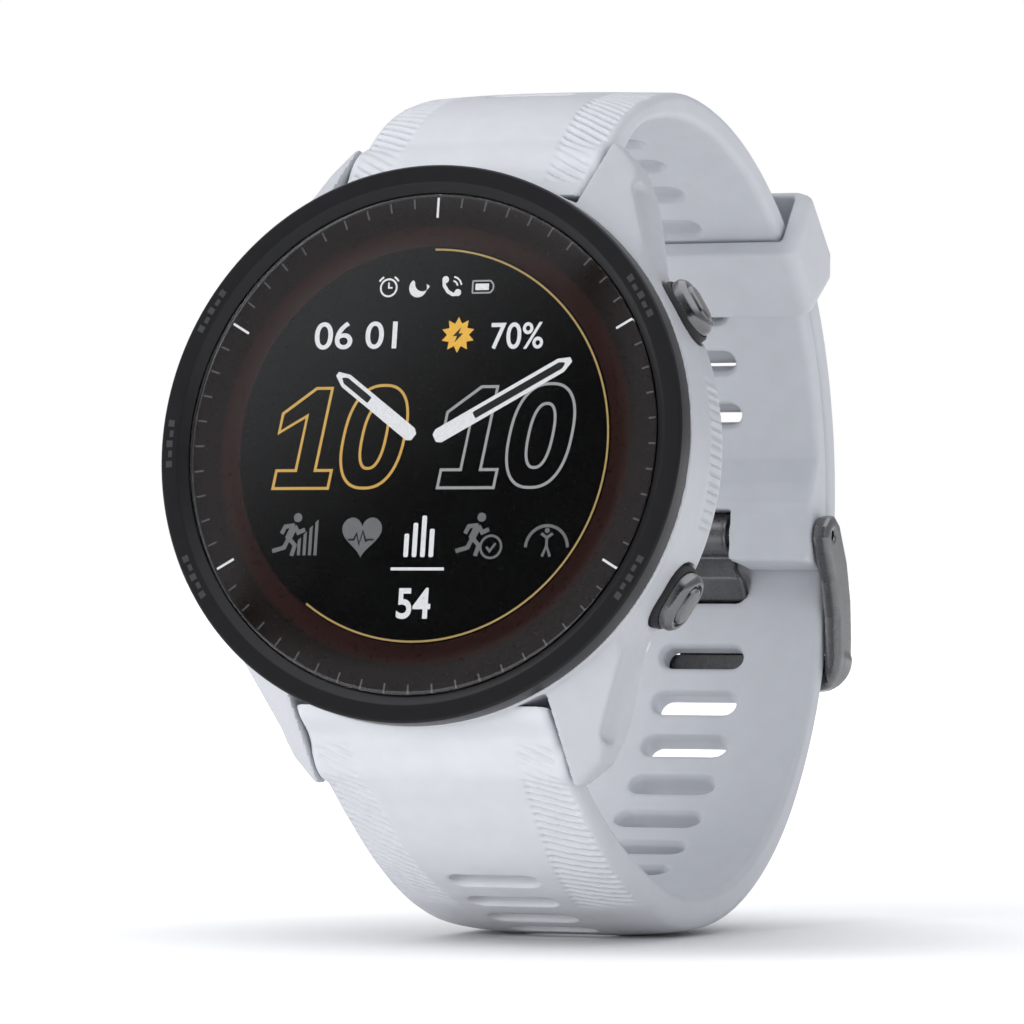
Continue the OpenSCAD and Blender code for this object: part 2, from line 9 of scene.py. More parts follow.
import bmesh
import bpy
import numpy as np
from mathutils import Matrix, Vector


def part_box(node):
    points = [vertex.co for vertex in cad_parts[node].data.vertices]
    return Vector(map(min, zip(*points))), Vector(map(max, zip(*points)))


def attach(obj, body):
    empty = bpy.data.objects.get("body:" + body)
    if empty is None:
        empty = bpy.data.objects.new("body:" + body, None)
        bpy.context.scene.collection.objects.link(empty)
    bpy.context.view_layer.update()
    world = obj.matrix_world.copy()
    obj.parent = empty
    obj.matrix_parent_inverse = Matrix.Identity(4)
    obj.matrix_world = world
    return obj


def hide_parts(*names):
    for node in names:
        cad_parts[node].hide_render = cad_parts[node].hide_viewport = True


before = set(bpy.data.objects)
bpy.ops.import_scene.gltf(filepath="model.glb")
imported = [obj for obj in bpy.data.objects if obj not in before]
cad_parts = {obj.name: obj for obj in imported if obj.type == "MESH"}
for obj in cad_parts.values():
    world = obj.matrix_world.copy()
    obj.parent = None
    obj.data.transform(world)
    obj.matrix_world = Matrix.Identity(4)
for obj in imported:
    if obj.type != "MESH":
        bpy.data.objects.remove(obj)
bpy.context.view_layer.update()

MM = 0.001
LEAN = math.radians(9)

# Sizes that part.scad gives, in millimetres
BEZEL_R, BEZEL_LIP, BEZEL_BACK = 23.25, 0.5, 1.6
GLASS_R, GLASS_T = 20.9, 1.3
LEDGE_R, LEDGE_Y = 20.95, 3.2
CAVITY_R, MOUTH_R, CASE_BACK = 19.6, 18.9, 12.4
LUG_IN, LUG_WALL, LUG_TIP = 11.4, 21.2, 27.1
PIN = np.array([10.0, 24.3])
PIN_R, KNUCKLE_R = 0.9, 2.5
BUTTONS = {"start": 57.8, "lap": 120, "down": 240, "up": 270, "light": 300}
BUTTON_Y, BUTTON_L, BUTTON_W = 8.3, 5.2, 3.8
CAP_IN, CAP_OUT, RECESS_R = 22.7, 24.7, 21.9
STEM_R, STEM_IN = 0.9, 18.3
STRAP_HALF, STRAP_T, CROWN_H = 11.2, 2.4, 1.1
SLOT_W, SLOT_H, SLOT_PITCH, SHORT_PITCH = 7.8, 2.1, 4.75, 5.2
WRIST_C, WRIST_R = np.array([35.0, 2.0]), 32.3
UNDER_C, UNDER_R = np.array([36.4, -2.4]), 33.0
TAIL_R, TAIL_OUT, TAIL_END = 32.5, 34.8, math.radians(50)
HINGE, BAR_R, EYE_R = np.array([64.5, 2.7]), 0.9, 2.0
FRAME_IN, FRAME_OUT, BAR_BASE = 11.4, 13.0, -11.0
TONGUE_T = 1.0
KEEPER_IN, KEEPER_WALL, KEEPER_HALF = 11.45, 1.3, math.radians(8.2)
KEEPER_ANGLE = math.radians(49.8)

# Sizes that are this script's own, inside the same box, in millimetres
TONGUE_W, CURL_W, NOTCH_W = 7.6, 6.2, 7.0
RIM_BACK, STRAP_REACH = 3.6, 7.6
GRIP_PITCH, GRIP_DEPTH = 1.9, 0.16
RIB_DEPTH, RIB_PITCH = 0.45, 0.97
RIB_GRID, SLOT_GRID, PLAIN_GRID = 0.18, 0.34, 0.8

COARSE = 1.0


# ---- the dial frame and the row frame ----

def leaned(points):
    """Turns points from the dial's upright frame to the way it leans."""
    p = np.asarray(points, float)
    c, s = math.cos(LEAN), math.sin(LEAN)
    return np.stack([p[..., 0], p[..., 1] * c + p[..., 2] * s, p[..., 2] * c - p[..., 1] * s], -1)


glass_low, glass_high = (np.array(corner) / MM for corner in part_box("cover_glass"))
ORIGIN = (glass_low + glass_high) / 2 - leaned([0, GLASS_T / 2, 0])


def to_row(points):
    return (leaned(points) + ORIGIN) * MM


# ---- materials ----

def new_material(name):
    material = bpy.data.materials.new(name)
    material.use_nodes = True
    nodes = material.node_tree.nodes
    return material, material.node_tree, nodes["Principled BSDF"]


def link(tree, source, target):
    tree.links.new(source, target)


def set_values(node, **values):
    """Sets the sockets that the keywords name, with _ for a space."""
    for socket, value in values.items():
        node.inputs[socket.replace("_", " ")].default_value = value


def add_node(tree, kind, operation=None, **values):
    node = tree.nodes.new(kind)
    if operation:
        node.operation = operation
    set_values(node, **values)
    return node


def noise(tree, scale, detail=3.0):
    """A noise texture fixed to the piece, scale in cells per millimetre."""
    place = add_node(tree, "ShaderNodeTexCoord")
    node = add_node(tree, "ShaderNodeTexNoise", Scale=scale / MM, Detail=detail, Roughness=0.5)
    link(tree, place.outputs["Object"], node.inputs["Vector"])
    return node


def spread(tree, source, low, high):
    """Maps a noise value round its middle onto the range from low to high."""
    node = add_node(tree, "ShaderNodeMapRange", From_Min=0.3, From_Max=0.7, To_Min=low, To_Max=high)
    link(tree, source, node.inputs["Value"])
    return node.outputs["Result"]


def ramp(tree, source, stops):
    node = add_node(tree, "ShaderNodeValToRGB")
    elements = node.color_ramp.elements
    while len(elements) < len(stops):
        elements.new(0.5)
    for element, (at, colour) in zip(elements, stops):
        element.position = at
        element.color = (*colour, 1)
    link(tree, source, node.inputs["Fac"])
    return node.outputs["Color"]


def moulded(name, colour, rough, grain=2.0, shade=0.06, bump=0.15, metal=0.0, **more):
    """A moulded, cast or turned material: its colour and roughness drift, and a fine grain lifts it."""
    material, tree, shader = new_material(name)
    drift = noise(tree, grain * 0.15, 2)
    dark = tuple(c * (1 - shade) for c in colour)
    light = tuple(min(1, c * (1 + shade)) for c in colour)
    link(tree, ramp(tree, drift.outputs["Fac"], [(0.3, dark), (0.7, light)]),
         shader.inputs["Base Color"])
    fine = noise(tree, grain, 4)
    link(tree, spread(tree, fine.outputs["Fac"], rough * 0.85, rough * 1.15),
         shader.inputs["Roughness"])
    lift = add_node(tree, "ShaderNodeBump", Strength=bump, Distance=0.01 * MM)
    link(tree, fine.outputs["Fac"], lift.inputs["Height"])
    link(tree, lift.outputs["Normal"], shader.inputs["Normal"])
    set_values(shader, Metallic=metal, **more)
    return material


def ink_with_painted_glow(name, colour, strength, base=0.02):
    """Display art and print that glow: the emission is painted light, standing in for lamp light that the
    glass keeps off them, with a faint pixel grain.
    """
    material, tree, shader = new_material(name)
    dots = noise(tree, 6, 0)
    dark = tuple(c * 0.9 for c in colour)
    glow = ramp(tree, dots.outputs["Fac"], [(0.35, dark), (0.6, colour)])
    link(tree, glow, shader.inputs["Emission Color"])
    set_values(shader, Emission_Strength=strength, Base_Color=(base, base, base, 1), Roughness=0.6)
    return material


silicone = moulded("silicone", (0.585, 0.60, 0.635), 0.52, grain=3, shade=0.02, bump=0.12)
polymer = moulded("case_polymer", (0.50, 0.512, 0.545), 0.42, grain=4, shade=0.02, bump=0.1)
bezel_black = moulded("bezel_polymer", (0.008, 0.008, 0.009), 0.34, grain=5, bump=0.2,
                      Specular_IOR_Level=0.22)
mark_grey = moulded("bezel_marks", (0.026, 0.026, 0.028), 0.5, grain=5)
gunmetal = moulded("gunmetal", (0.17, 0.17, 0.173), 0.3, grain=6, metal=1.0, bump=0.08)
button_metal = moulded("button_metal", (0.17, 0.17, 0.175), 0.26, grain=6, metal=1.0, bump=0.08)
steel = moulded("steel", (0.5, 0.5, 0.51), 0.28, grain=6, metal=1.0, bump=0.08)
rubber = moulded("seal_rubber", (0.012, 0.012, 0.013), 0.6, grain=3, bump=0.2)
dark_plastic = moulded("dark_plastic", (0.03, 0.031, 0.034), 0.5, grain=3)
back_white = moulded("back_polymer", (0.72, 0.73, 0.75), 0.35, grain=4, shade=0.02)
board_green = moulded("circuit_board", (0.015, 0.09, 0.045), 0.4, grain=2, shade=0.3)
foil = moulded("battery_foil", (0.42, 0.44, 0.46), 0.4, grain=1.5, metal=1.0, bump=0.4)
gilt = moulded("gilt", (0.72, 0.52, 0.25), 0.25, grain=6, metal=1.0)
sensor_black = moulded("sensor_window", (0.012, 0.012, 0.018), 0.08, grain=2, bump=0.02,
                       Coat_Weight=0.6, Coat_Roughness=0.04)
panel_black = moulded("display_panel", (0.002, 0.002, 0.0025), 0.25, grain=3, bump=0.02,
                      Specular_IOR_Level=0.1)
# Display art and the ticks printed under the glass glow with painted light: emission, not lamps, makes
# them bright.
white_ink_painted_glow = ink_with_painted_glow("white_ink_painted_glow", (0.85, 0.86, 0.88), 1.0)
tick_ink_painted_glow = ink_with_painted_glow("tick_ink_painted_glow", (0.55, 0.56, 0.58), 0.09, base=0.1)
grey_ink_painted_glow = ink_with_painted_glow("grey_ink_painted_glow", (0.16, 0.165, 0.17), 1.0)
line_grey_painted_glow = ink_with_painted_glow("line_grey_painted_glow", (0.42, 0.42, 0.43), 0.9)
gold_ink_painted_glow = ink_with_painted_glow("gold_ink_painted_glow", (0.75, 0.45, 0.10), 0.9)
sun_ink_painted_glow = ink_with_painted_glow("sun_ink_painted_glow", (0.9, 0.5, 0.06), 1.0)
arc_ink_painted_glow = ink_with_painted_glow("arc_ink_painted_glow", (0.55, 0.38, 0.14), 0.8)
slot_black = ink_with_painted_glow("slot_black", (0.004, 0.004, 0.004), 0.2)


def make_glass():
    material, tree, shader = new_material("cover_glass")
    smear = noise(tree, 0.25, 3)
    link(tree, spread(tree, smear.outputs["Fac"], 0.015, 0.05), shader.inputs["Roughness"])
    set_values(shader, Base_Color=(0.93, 0.94, 0.95, 1), Transmission_Weight=1.0, IOR=1.5)
    return material


def make_solar():
    """The solar ring: red-brown cells over the display's rim, black out under the bezel, with a faint
    painted glow.
    """
    material, tree, shader = new_material("solar_film")
    place = add_node(tree, "ShaderNodeTexCoord")
    offset = add_node(tree, "ShaderNodeVectorMath", "SUBTRACT")
    offset.inputs[1].default_value = to_row([0, GLASS_T, 0])
    link(tree, place.outputs["Object"], offset.inputs[0])
    cross = add_node(tree, "ShaderNodeVectorMath", "CROSS_PRODUCT")
    cross.inputs[1].default_value = leaned([0, 1, 0])
    link(tree, offset.outputs["Vector"], cross.inputs[0])
    radius = add_node(tree, "ShaderNodeVectorMath", "LENGTH")
    link(tree, cross.outputs["Vector"], radius.inputs[0])
    share = add_node(tree, "ShaderNodeMapRange", From_Min=16.5 * MM, From_Max=19.0 * MM)
    link(tree, radius.outputs["Value"], share.inputs["Value"])
    brown, black = (0.035, 0.010, 0.007), (0.003, 0.003, 0.003)
    link(tree, ramp(tree, share.outputs["Result"], [
        (0.0, brown), (0.62, brown), (0.8, black), (1.0, black)]), shader.inputs["Base Color"])
    cells = noise(tree, 2.5, 2)
    link(tree, spread(tree, cells.outputs["Fac"], 0.25, 0.4), shader.inputs["Roughness"])
    # The faint red-brown emission is painted glow, brightening the cells whatever the lamps do.
    set_values(shader, Specular_IOR_Level=0.2, Emission_Color=(0.10, 0.028, 0.018, 1),
               Emission_Strength=0.05)
    return material


glass = make_glass()
solar = make_solar()


# ---- meshes ----

def face_outwards(mesh):
    """Turns a closed mesh's faces over if they look inwards."""
    shell = bmesh.new()
    shell.from_mesh(mesh)
    if shell.calc_volume(signed=True) < 0:
        mesh.flip_normals()
    shell.free()


def add_piece(name, points, faces, material, body="root", slot=None, stands_for=(), crease=40):
    """A piece from points in the dial frame. It rides on a body and stands for CAD nodes."""
    mesh = bpy.data.meshes.new(name)
    mesh.from_pydata(to_row(points).tolist(), [], faces.tolist()
                     if isinstance(faces, np.ndarray) else faces)
    mesh.validate()
    face_outwards(mesh)
    mesh.shade_smooth()
    mesh.set_sharp_from_angle(angle=math.radians(crease))
    piece = bpy.data.objects.new(name, mesh)
    bpy.context.scene.collection.objects.link(piece)
    piece.data.materials.append(material)
    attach(piece, body)
    if stands_for:
        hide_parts(*stands_for)
    return piece


def surface_net(field, axes):
    """Quads over the zero of a signed field on a grid, each point drawn onto the surface."""
    values = field(axes[0][:, None, None], axes[1][None, :, None], axes[2][None, None, :])
    values = np.broadcast_to(values, [len(a) for a in axes])
    cells = np.array(values.shape) - 1
    sums = np.zeros((4, cells.prod()))
    quads = []
    for d in range(3):
        near = np.moveaxis(values, d, 0)[:-1]
        far = np.moveaxis(values, d, 0)[1:]
        crossing = np.argwhere((near < 0) != (far < 0))
        a, b = near[tuple(crossing.T)], far[tuple(crossing.T)]
        at = np.empty_like(crossing)
        others = [k for k in range(3) if k != d]
        at[:, d] = crossing[:, 0]
        at[:, others[0]], at[:, others[1]] = crossing[:, 1], crossing[:, 2]
        point = at.astype(float)
        point[:, d] += a / (a - b)
        u, v = (d + 1) % 3, (d + 2) % 3
        ring, whole = [], np.ones(len(at), bool)
        for du, dv in ((0, 0), (-1, 0), (-1, -1), (0, -1)):
            cell = at.copy()
            cell[:, u] += du
            cell[:, v] += dv
            good = np.all((cell >= 0) & (cell < cells), 1)
            whole &= good
            index = np.ravel_multi_index(np.clip(cell, 0, cells - 1).T, cells)
            for k in range(3):
                sums[k] += np.bincount(index[good], point[good, k], cells.prod())
            sums[3] += np.bincount(index[good], minlength=cells.prod())
            ring.append(index)
        faces = np.stack(ring, 1)
        faces[a >= 0] = faces[a >= 0][:, ::-1]
        quads.append(faces[whole])
    quads = np.concatenate(quads)
    used, quads = np.unique(quads, return_inverse=True)
    grid = sums[:3, used] / sums[3, used]
    points = np.stack([np.interp(grid[k], np.arange(len(axes[k])), axes[k]) for k in range(3)], 1)
    return settle(field, points), quads.reshape(-1, 4)


def settle(field, points, rounds=2, step=0.01):
    """Moves points along the field's slope onto its zero."""
    for _ in range(rounds):
        value = field(*points.T)
        slope = np.empty_like(points)
        for k in range(3):
            shifted = points.copy()
            shifted[:, k] += step
            slope[:, k] = (field(*shifted.T) - value) / step
        steep = np.maximum((slope ** 2).sum(1), 0.2)
        move = (value / steep)[:, None] * slope
        far = np.maximum(np.linalg.norm(move, axis=1, keepdims=True) / 0.2, 1)
        points = points - move / far
    return points


def grid_axis(low, high, step):
    return np.linspace(low, high, max(2, int(math.ceil((high - low) / step / COARSE)) + 1))


def soft_min(a, b, k):
    h = np.clip(0.5 + 0.5 * (b - a) / k, 0, 1)
    return b * (1 - h) + a * h - k * h * (1 - h)


def soft_max(a, b, k):
    return -soft_min(-a, -b, k)


def off_segment(a, b, u, v):
    """Squared distance to the straight from a to b in the u and v plane."""
    eu, ev = b[0] - a[0], b[1] - a[1]
    t = np.clip(((u - a[0]) * eu + (v - a[1]) * ev) / (eu * eu + ev * ev), 0, 1)
    return (u - a[0] - eu * t) ** 2 + (v - a[1] - ev * t) ** 2


def outline_field(points, u, v):
    """Signed distance to a closed outline in the u and v plane, negative inside."""
    shape = np.broadcast(u, v).shape
    squared, inside = np.full(shape, 1e9), np.zeros(shape, bool)
    corners = np.asarray(points, float)
    for a, b in zip(corners, np.roll(corners, -1, 0)):
        squared = np.minimum(squared, off_segment(a, b, u, v))
        if a[1] != b[1]:
            crossing = (b[0] - a[0]) * (v - a[1]) / (b[1] - a[1]) + a[0]
            inside ^= ((a[1] > v) != (b[1] > v)) & (u < crossing)
    return np.where(inside, -1, 1) * np.sqrt(squared)


def line_field(points, u, v):
    """Distance to an open line in the u and v plane."""
    return np.sqrt(np.minimum.reduce([off_segment(a, b, u, v) for a, b in zip(points[:-1], points[1:])]))


def corner_field(u, v, r):
    """Signed distance to a corner at u = v = 0, rounded to radius r, negative inside."""
    u, v = u + r, v + r
    return np.hypot(np.maximum(u, 0), np.maximum(v, 0)) + np.minimum(np.maximum(u, v), 0) - r


def stadium_field(u, v, length, width):
    return np.hypot(np.maximum(np.abs(u) - (length - width) / 2, 0), v) - width / 2


def band_faces(count, n, closed=False):
    """Quads that join a stack of rings of n points, and its last ring to its first if closed."""
    return [(i * n + j, i * n + (j + 1) % n, (i + 1) % count * n + (j + 1) % n, (i + 1) % count * n + j)
            for i in range(count if closed else count - 1) for j in range(n)]


def loft(rings):
    """Closes a stack of equal rings into one shell."""
    n, last = len(rings[0]), (len(rings) - 1) * len(rings[0])
    ends = [tuple(range(n))[::-1], tuple(last + j for j in range(n))]
    return np.concatenate(rings), band_faces(len(rings), n) + ends


def lathe(name, profile, material, steps=192, **more):
    """Turns a closed [radius, depth] outline round the dial's axis."""
    angles = np.linspace(0, 2 * math.pi, steps, endpoint=False)
    rows = np.array([[(r * math.sin(a), y, r * math.cos(a)) for r, y in profile] for a in angles])
    return add_piece(name, rows.reshape(-1, 3), band_faces(steps, len(profile), True), material, **more)


def rounded(points, r, steps=4):
    """An outline with its corners rounded to radius r."""
    out, n = [], len(points)
    points = [np.array(p, float) for p in points]
    for i in range(n):
        a, b, c = points[i - 1], points[i], points[(i + 1) % n]
        u, v = (a - b) / np.linalg.norm(a - b), (c - b) / np.linalg.norm(c - b)
        reach = min(r, 0.45 * np.linalg.norm(a - b), 0.45 * np.linalg.norm(c - b))
        for k in range(steps + 1):
            t = k / steps
            out.append(b + (1 - t) ** 2 * reach * u + t ** 2 * reach * v)
    return out


def stadium(length, width, steps=14):
    """Points round an outline with two round ends."""
    ends = []
    for side in (1, -1):
        for a in np.linspace(-math.pi / 2, math.pi / 2, steps):
            ends.append((side * (length - width) / 2 + side * width / 2 * math.cos(a),
                         side * width / 2 * math.sin(a)))
    return np.array(ends)


# ---- bezel, glass and display ----

bezel_profile = rounded([
    (GLASS_R + 0.06, GLASS_T), (GLASS_R + 0.06, 0.15), (21.75, -BEZEL_LIP),
    (BEZEL_R - 0.15, -BEZEL_LIP), (BEZEL_R, -BEZEL_LIP + 0.15), (BEZEL_R, BEZEL_BACK),
    (21.5, BEZEL_BACK), (21.5, GLASS_T)], 0.08)
lathe("bezel_ring", bezel_profile, bezel_black, slot="bezel_polymer", stands_for=["bezel"])


def bezel_marks():
    """Generic marks engraved beside each button: short bars that follow the bezel."""
    points, faces = [], []
    for clock in BUTTONS.values():
        for k in range(-2, 3):
            middle = math.radians(clock + k * 2.2)
            half = math.radians(0.7)
            low, high = 22.2, 22.2 + (0.35 if k % 2 else 0.55)
            start = len(points)
            for y in (-BEZEL_LIP - 0.012, -BEZEL_LIP + 0.05):
                for r, a in ((low, -half), (high, -half), (high, half), (low, half)):
                    points.append((r * math.sin(middle + a), y, r * math.cos(middle + a)))
            faces += [[start + i for i in ring] for ring in (
                (0, 1, 2, 3), (7, 6, 5, 4), (0, 4, 5, 1), (1, 5, 6, 2), (2, 6, 7, 3), (3, 7, 4, 0))]
    add_piece("bezel_marks", points, faces, mark_grey, slot="bezel_polymer")


bezel_marks()
GLASS_BACK = GLASS_T - 0.08
glass_profile = [(0.001, 0), (6, 0), (12, 0), (17, 0), (GLASS_R - 0.35, 0), (GLASS_R - 0.1, 0.07),
                 (GLASS_R, 0.3), (GLASS_R, GLASS_BACK), (12, GLASS_BACK), (0.001, GLASS_BACK)]
lathe("glass_disc", glass_profile, glass, slot="cover_glass", stands_for=["cover_glass"])


def art(name, loops, material, layer=0, slot="display_panel"):
    """Flat display art from closed loops of (x, z), filled where they nest oddly."""
    curve = bpy.data.curves.new(name, "CURVE")
    curve.dimensions = "2D"
    curve.fill_mode = "BOTH"
    curve.extrude = 0.012
    for loop in loops:
        spline = curve.splines.new("POLY")
        spline.points.add(len(loop) - 1)
        for point, (x, z) in zip(spline.points, loop):
            point.co = (x, z, 0, 1)
        spline.use_cyclic_u = True
    return flatten(name, curve, material, layer, slot)


def flatten(name, curve, material, layer, slot, at=(0, 0), wide=1.0):
    """Turns a flat curve or text into a mesh that lies under the glass."""
    holder = bpy.data.objects.new(name + "_line", curve)
    bpy.context.scene.collection.objects.link(holder)
    bpy.context.view_layer.update()
    mesh = bpy.data.meshes.new_from_object(holder.evaluated_get(
        bpy.context.evaluated_depsgraph_get()))
    points = np.array([v.co for v in mesh.vertices])
    faces = [list(p.vertices) for p in mesh.polygons]
    bpy.data.objects.remove(holder)
    depth = GLASS_T - 0.02 - 0.028 * layer
    points = np.stack([at[0] + points[:, 0] * wide, depth - points[:, 2], at[1] + points[:, 1]], 1)
    return add_piece(name, points, faces, material, slot=slot, crease=20)


def stroke(points, width, closed=False):
    """Closed loops that fill a line of some width."""
    p = np.array(points, float)
    before, after = np.roll(p, 1, 0), np.roll(p, -1, 0)
    if not closed:
        before[0], after[-1] = 2 * p[0] - p[1], 2 * p[-1] - p[-2]
    a, b = p - before, after - p
    a /= np.linalg.norm(a, axis=1, keepdims=True)
    b /= np.linalg.norm(b, axis=1, keepdims=True)
    m = a + b
    m /= np.maximum(np.linalg.norm(m, axis=1, keepdims=True), 1e-6)
    normal = np.stack([-m[:, 1], m[:, 0]], 1)
    reach = width / 2 / np.maximum(np.einsum("ij,ij->i", m, a), 0.5)[:, None]
    left, right = p + normal * reach, p - normal * reach
    return [left, right] if closed else [np.concatenate([left, right[::-1]])]


def circle(x, z, r, start=0, end=360, step=10):
    """Points of an arc, its angles in degrees from 12 o'clock, clockwise."""
    n = max(3, int(abs(end - start) / step))
    stops = np.linspace(start, end, n, endpoint=abs(end - start) < 360)
    return [(x + r * math.sin(math.radians(a)), z + r * math.cos(math.radians(a))) for a in stops]


def label(name, text, middle, height, wide, material, heavy):
    """Numerals, centred on a place, from Blender's own font."""
    curve = bpy.data.curves.new(name, "FONT")
    curve.body = text
    curve.size = height / 0.73
    curve.align_x = "CENTER"
    curve.offset = heavy
    curve.extrude = 0.012
    curve.resolution_u = 6
    return flatten(name, curve, material, 0, "display_panel",
                   at=(middle[0], middle[1] - height / 2), wide=wide)


def slanted(points, at):
    """Points of a figure from its foot at a place, leaning as the big figures do."""
    return [(at[0] + x + FIGURE_SLANT * z, at[1] + z) for x, z in points]


def big_one():
    """The outline of a slab-footed figure one, 8.4 mm tall, from its lower left corner."""
    return [(0, 0), (5.0, 0), (5.0, 1.5), (3.5, 1.5), (3.5, 8.4), (2.1, 8.4), (-0.5, 6.3),
            (-0.5, 4.7), (1.75, 6.1), (1.75, 1.5), (0, 1.5)]


def big_zero(inset=0.0):
    """A tall round-cornered nought, or its eye."""
    w, h = 2.75 - inset * 1.02, 4.3 - inset
    out = []
    for a in np.linspace(0, 360, 48, endpoint=False):
        c, s = math.cos(math.radians(a)), math.sin(math.radians(a))
        out.append((w * math.copysign(abs(c) ** 0.82, c), h * math.copysign(abs(s) ** 0.82, s)))
    return out


FIGURE_LINE, FIGURE_FOOT, FIGURE_SLANT = 0.24, -3.6, 0.16
for name, left, ink in (("hour_figures", -13.35, gold_ink_painted_glow), ("minute_figures", 1.5, line_grey_painted_glow)):
    loops = stroke(slanted(big_one(), (left, FIGURE_FOOT)), FIGURE_LINE, True)
    for inset in (0.0, 1.65):
        zero = slanted(big_zero(inset), (left + 8.9, FIGURE_FOOT + 4.3))
        loops += stroke(zero, FIGURE_LINE, True)
    art(name, loops, ink)

ticks, long_ticks = [], []
for minute in range(60):
    a = math.radians(6 * minute)
    is_long = minute in (10, 20, 40, 50, 0)
    low, half = (19.0, 0.1) if is_long else (19.85, 0.075)
    across = np.array([math.cos(a), -math.sin(a)]) * half
    along = np.array([math.sin(a), math.cos(a)])
    (long_ticks if is_long else ticks).append(
        [along * low + across, along * 20.65 + across, along * 20.65 - across, along * low - across])
art("minute_ticks", ticks, tick_ink_painted_glow, slot="cover_glass")
art("five_minute_ticks", long_ticks, white_ink_painted_glow, slot="cover_glass")
art("progress_arc", stroke(circle(0, 0, 16.35, 0, 216, 3), 0.17), arc_ink_painted_glow)


def hand(name, length, angle, slot_from):
    """A pointed hand that starts clear of the dial's middle, with a dark slot."""
    a = math.radians(angle)
    along, across = np.array([math.sin(a), math.cos(a)]), np.array([math.cos(a), -math.sin(a)])

    def at(points):
        return [along * u + across * v for u, v in points]
    half = 0.62
    body = [(1.1, -0.34), (1.1, 0.34), (1.5, half), (length - 1.0, half), (length, 0.2),
            (length, -0.2), (length - 1.0, -half), (1.5, -half)]
    hole = [(slot_from, -0.3), (slot_from, 0.3), (length - 1.0, 0.3), (length - 0.55, 0),
            (length - 1.0, -0.3)]
    art(name, [at(body)], white_ink_painted_glow, layer=1)
    art(name + "_slot", [at(rounded(hole, 0.12, 3))], slot_black, layer=2)


hand("hour_hand", 10.1, -53.5, 6.3)
hand("minute_hand", 14.5, 61.2, 5.0)

# Status icons
clock_face = stroke(circle(-4.0, 13.2, 0.72, step=15), 0.16, True)
clock_face += stroke([(-4.0, 13.65), (-4.0, 13.2), (-3.66, 13.2)], 0.14)
for side in (-1, 1):
    clock_face += stroke(circle(-4.0, 13.2, 1.02, side * 28, side * 58, 10), 0.16)
art("alarm_icon", clock_face, white_ink_painted_glow)
moon = circle(-1.35, 13.15, 0.8, 66, 324, 12) + circle(-0.95, 13.55, 0.7, 278, 112, 12)
art("night_icon", [moon], white_ink_painted_glow)
handset = stroke([(0.95, 13.85), (1.0, 13.3), (1.35, 12.8), (1.8, 12.55), (2.35, 12.6)], 0.3)
handset += [circle(1.1, 13.8, 0.3, step=30), circle(2.25, 12.7, 0.3, step=30)]
art("call_icon_a", handset[:1], white_ink_painted_glow)
art("call_icon_b", handset[1:], white_ink_painted_glow, layer=1)
art("signal_icon", stroke(circle(1.7, 13.2, 0.5, 10, 80, 15), 0.14)
    + stroke(circle(1.7, 13.2, 0.85, 10, 80, 15), 0.14), white_ink_painted_glow)
cell = rounded([(3.55, 12.65), (5.15, 12.65), (5.4, 12.95), (5.4, 13.35), (5.15, 13.65),
                (3.55, 13.65)], 0.08, 2)
art("battery_icon", stroke(cell, 0.14, True), line_grey_painted_glow)
art("battery_fill", [[(3.8, 12.88), (5.0, 12.88), (5.0, 13.42), (3.8, 13.42)]], white_ink_painted_glow)

label("date_figures", "06 01", (-6.4, 9.3), 2.35, 1.12, white_ink_painted_glow, heavy=0.03)
label("charge_figures", "70%", (7.75, 9.1), 2.25, 0.93, white_ink_painted_glow, heavy=0.03)
rays = []
for k in range(20):
    a, r = math.radians(18 * k), 0.98 if k % 2 else 1.5
    rays.append((2.5 + r * math.sin(a), 9.15 + r * math.cos(a)))
art("sun_icon", [rays], sun_ink_painted_glow)
bolt = [(0.25, 0.62), (-0.45, -0.1), (-0.08, -0.1), (-0.25, -0.62), (0.45, 0.12), (0.08, 0.12)]
art("sun_bolt", [[(2.5 + x, 9.15 + z) for x, z in bolt]], slot_black, layer=1)


def runner(x, z):
    """A running figure of a head, a leaning trunk, two arms and two legs."""
    trunk = stroke([(x + 0.05, z + 0.75), (x - 0.45, z - 0.35)], 0.62)
    limbs = []
    for line in ([(x + 0.1, z + 0.8), (x - 0.75, z + 0.7), (x - 1.05, z + 0.1)],
                 [(x + 0.1, z + 0.75), (x + 0.45, z + 0.2), (x + 1.05, z + 0.45)],
                 [(x - 0.35, z - 0.2), (x - 0.75, z - 1.05), (x - 1.8, z - 1.35)],
                 [(x - 0.45, z - 0.2), (x + 0.2, z - 0.85), (x - 0.05, z - 1.75)]):
        limbs.append(stroke(line, 0.36))
    return [trunk] + limbs + [[circle(x + 0.35, z + 1.45, 0.38, step=20)]]


for name, x in (("run_icon", -11.2), ("ready_icon", 5.3)):
    for k, loops in enumerate(runner(x, -7.5)):
        art(f"{name}_{k}", loops, grey_ink_painted_glow, layer=k % 2)
for k, top in enumerate((-7.7, -7.2, -6.7, -6.2)):
    left = -10.75 + 0.5 * k
    art(f"trend_bar_{k}", [[(left, -9.2), (left + 0.28, -9.2), (left + 0.28, top),
                            (left, top - 0.25)]], grey_ink_painted_glow)
art("ready_ring", stroke(circle(6.6, -8.5, 0.92, step=12), 0.2, True), grey_ink_painted_glow, layer=1)
art("ready_check", stroke([(6.2, -8.5), (6.5, -8.85), (7.0, -8.2)], 0.2), grey_ink_painted_glow)
heart = [(-5.0 + 0.118 * 16 * math.sin(t) ** 3 * 0.95,
          -7.45 + 0.118 * (13 * math.cos(t) - 5 * math.cos(2 * t) - 2 * math.cos(3 * t) - math.cos(4 * t)))
         for t in (2 * math.pi * k / 40 for k in range(40))]
art("heart_icon", [heart], grey_ink_painted_glow)
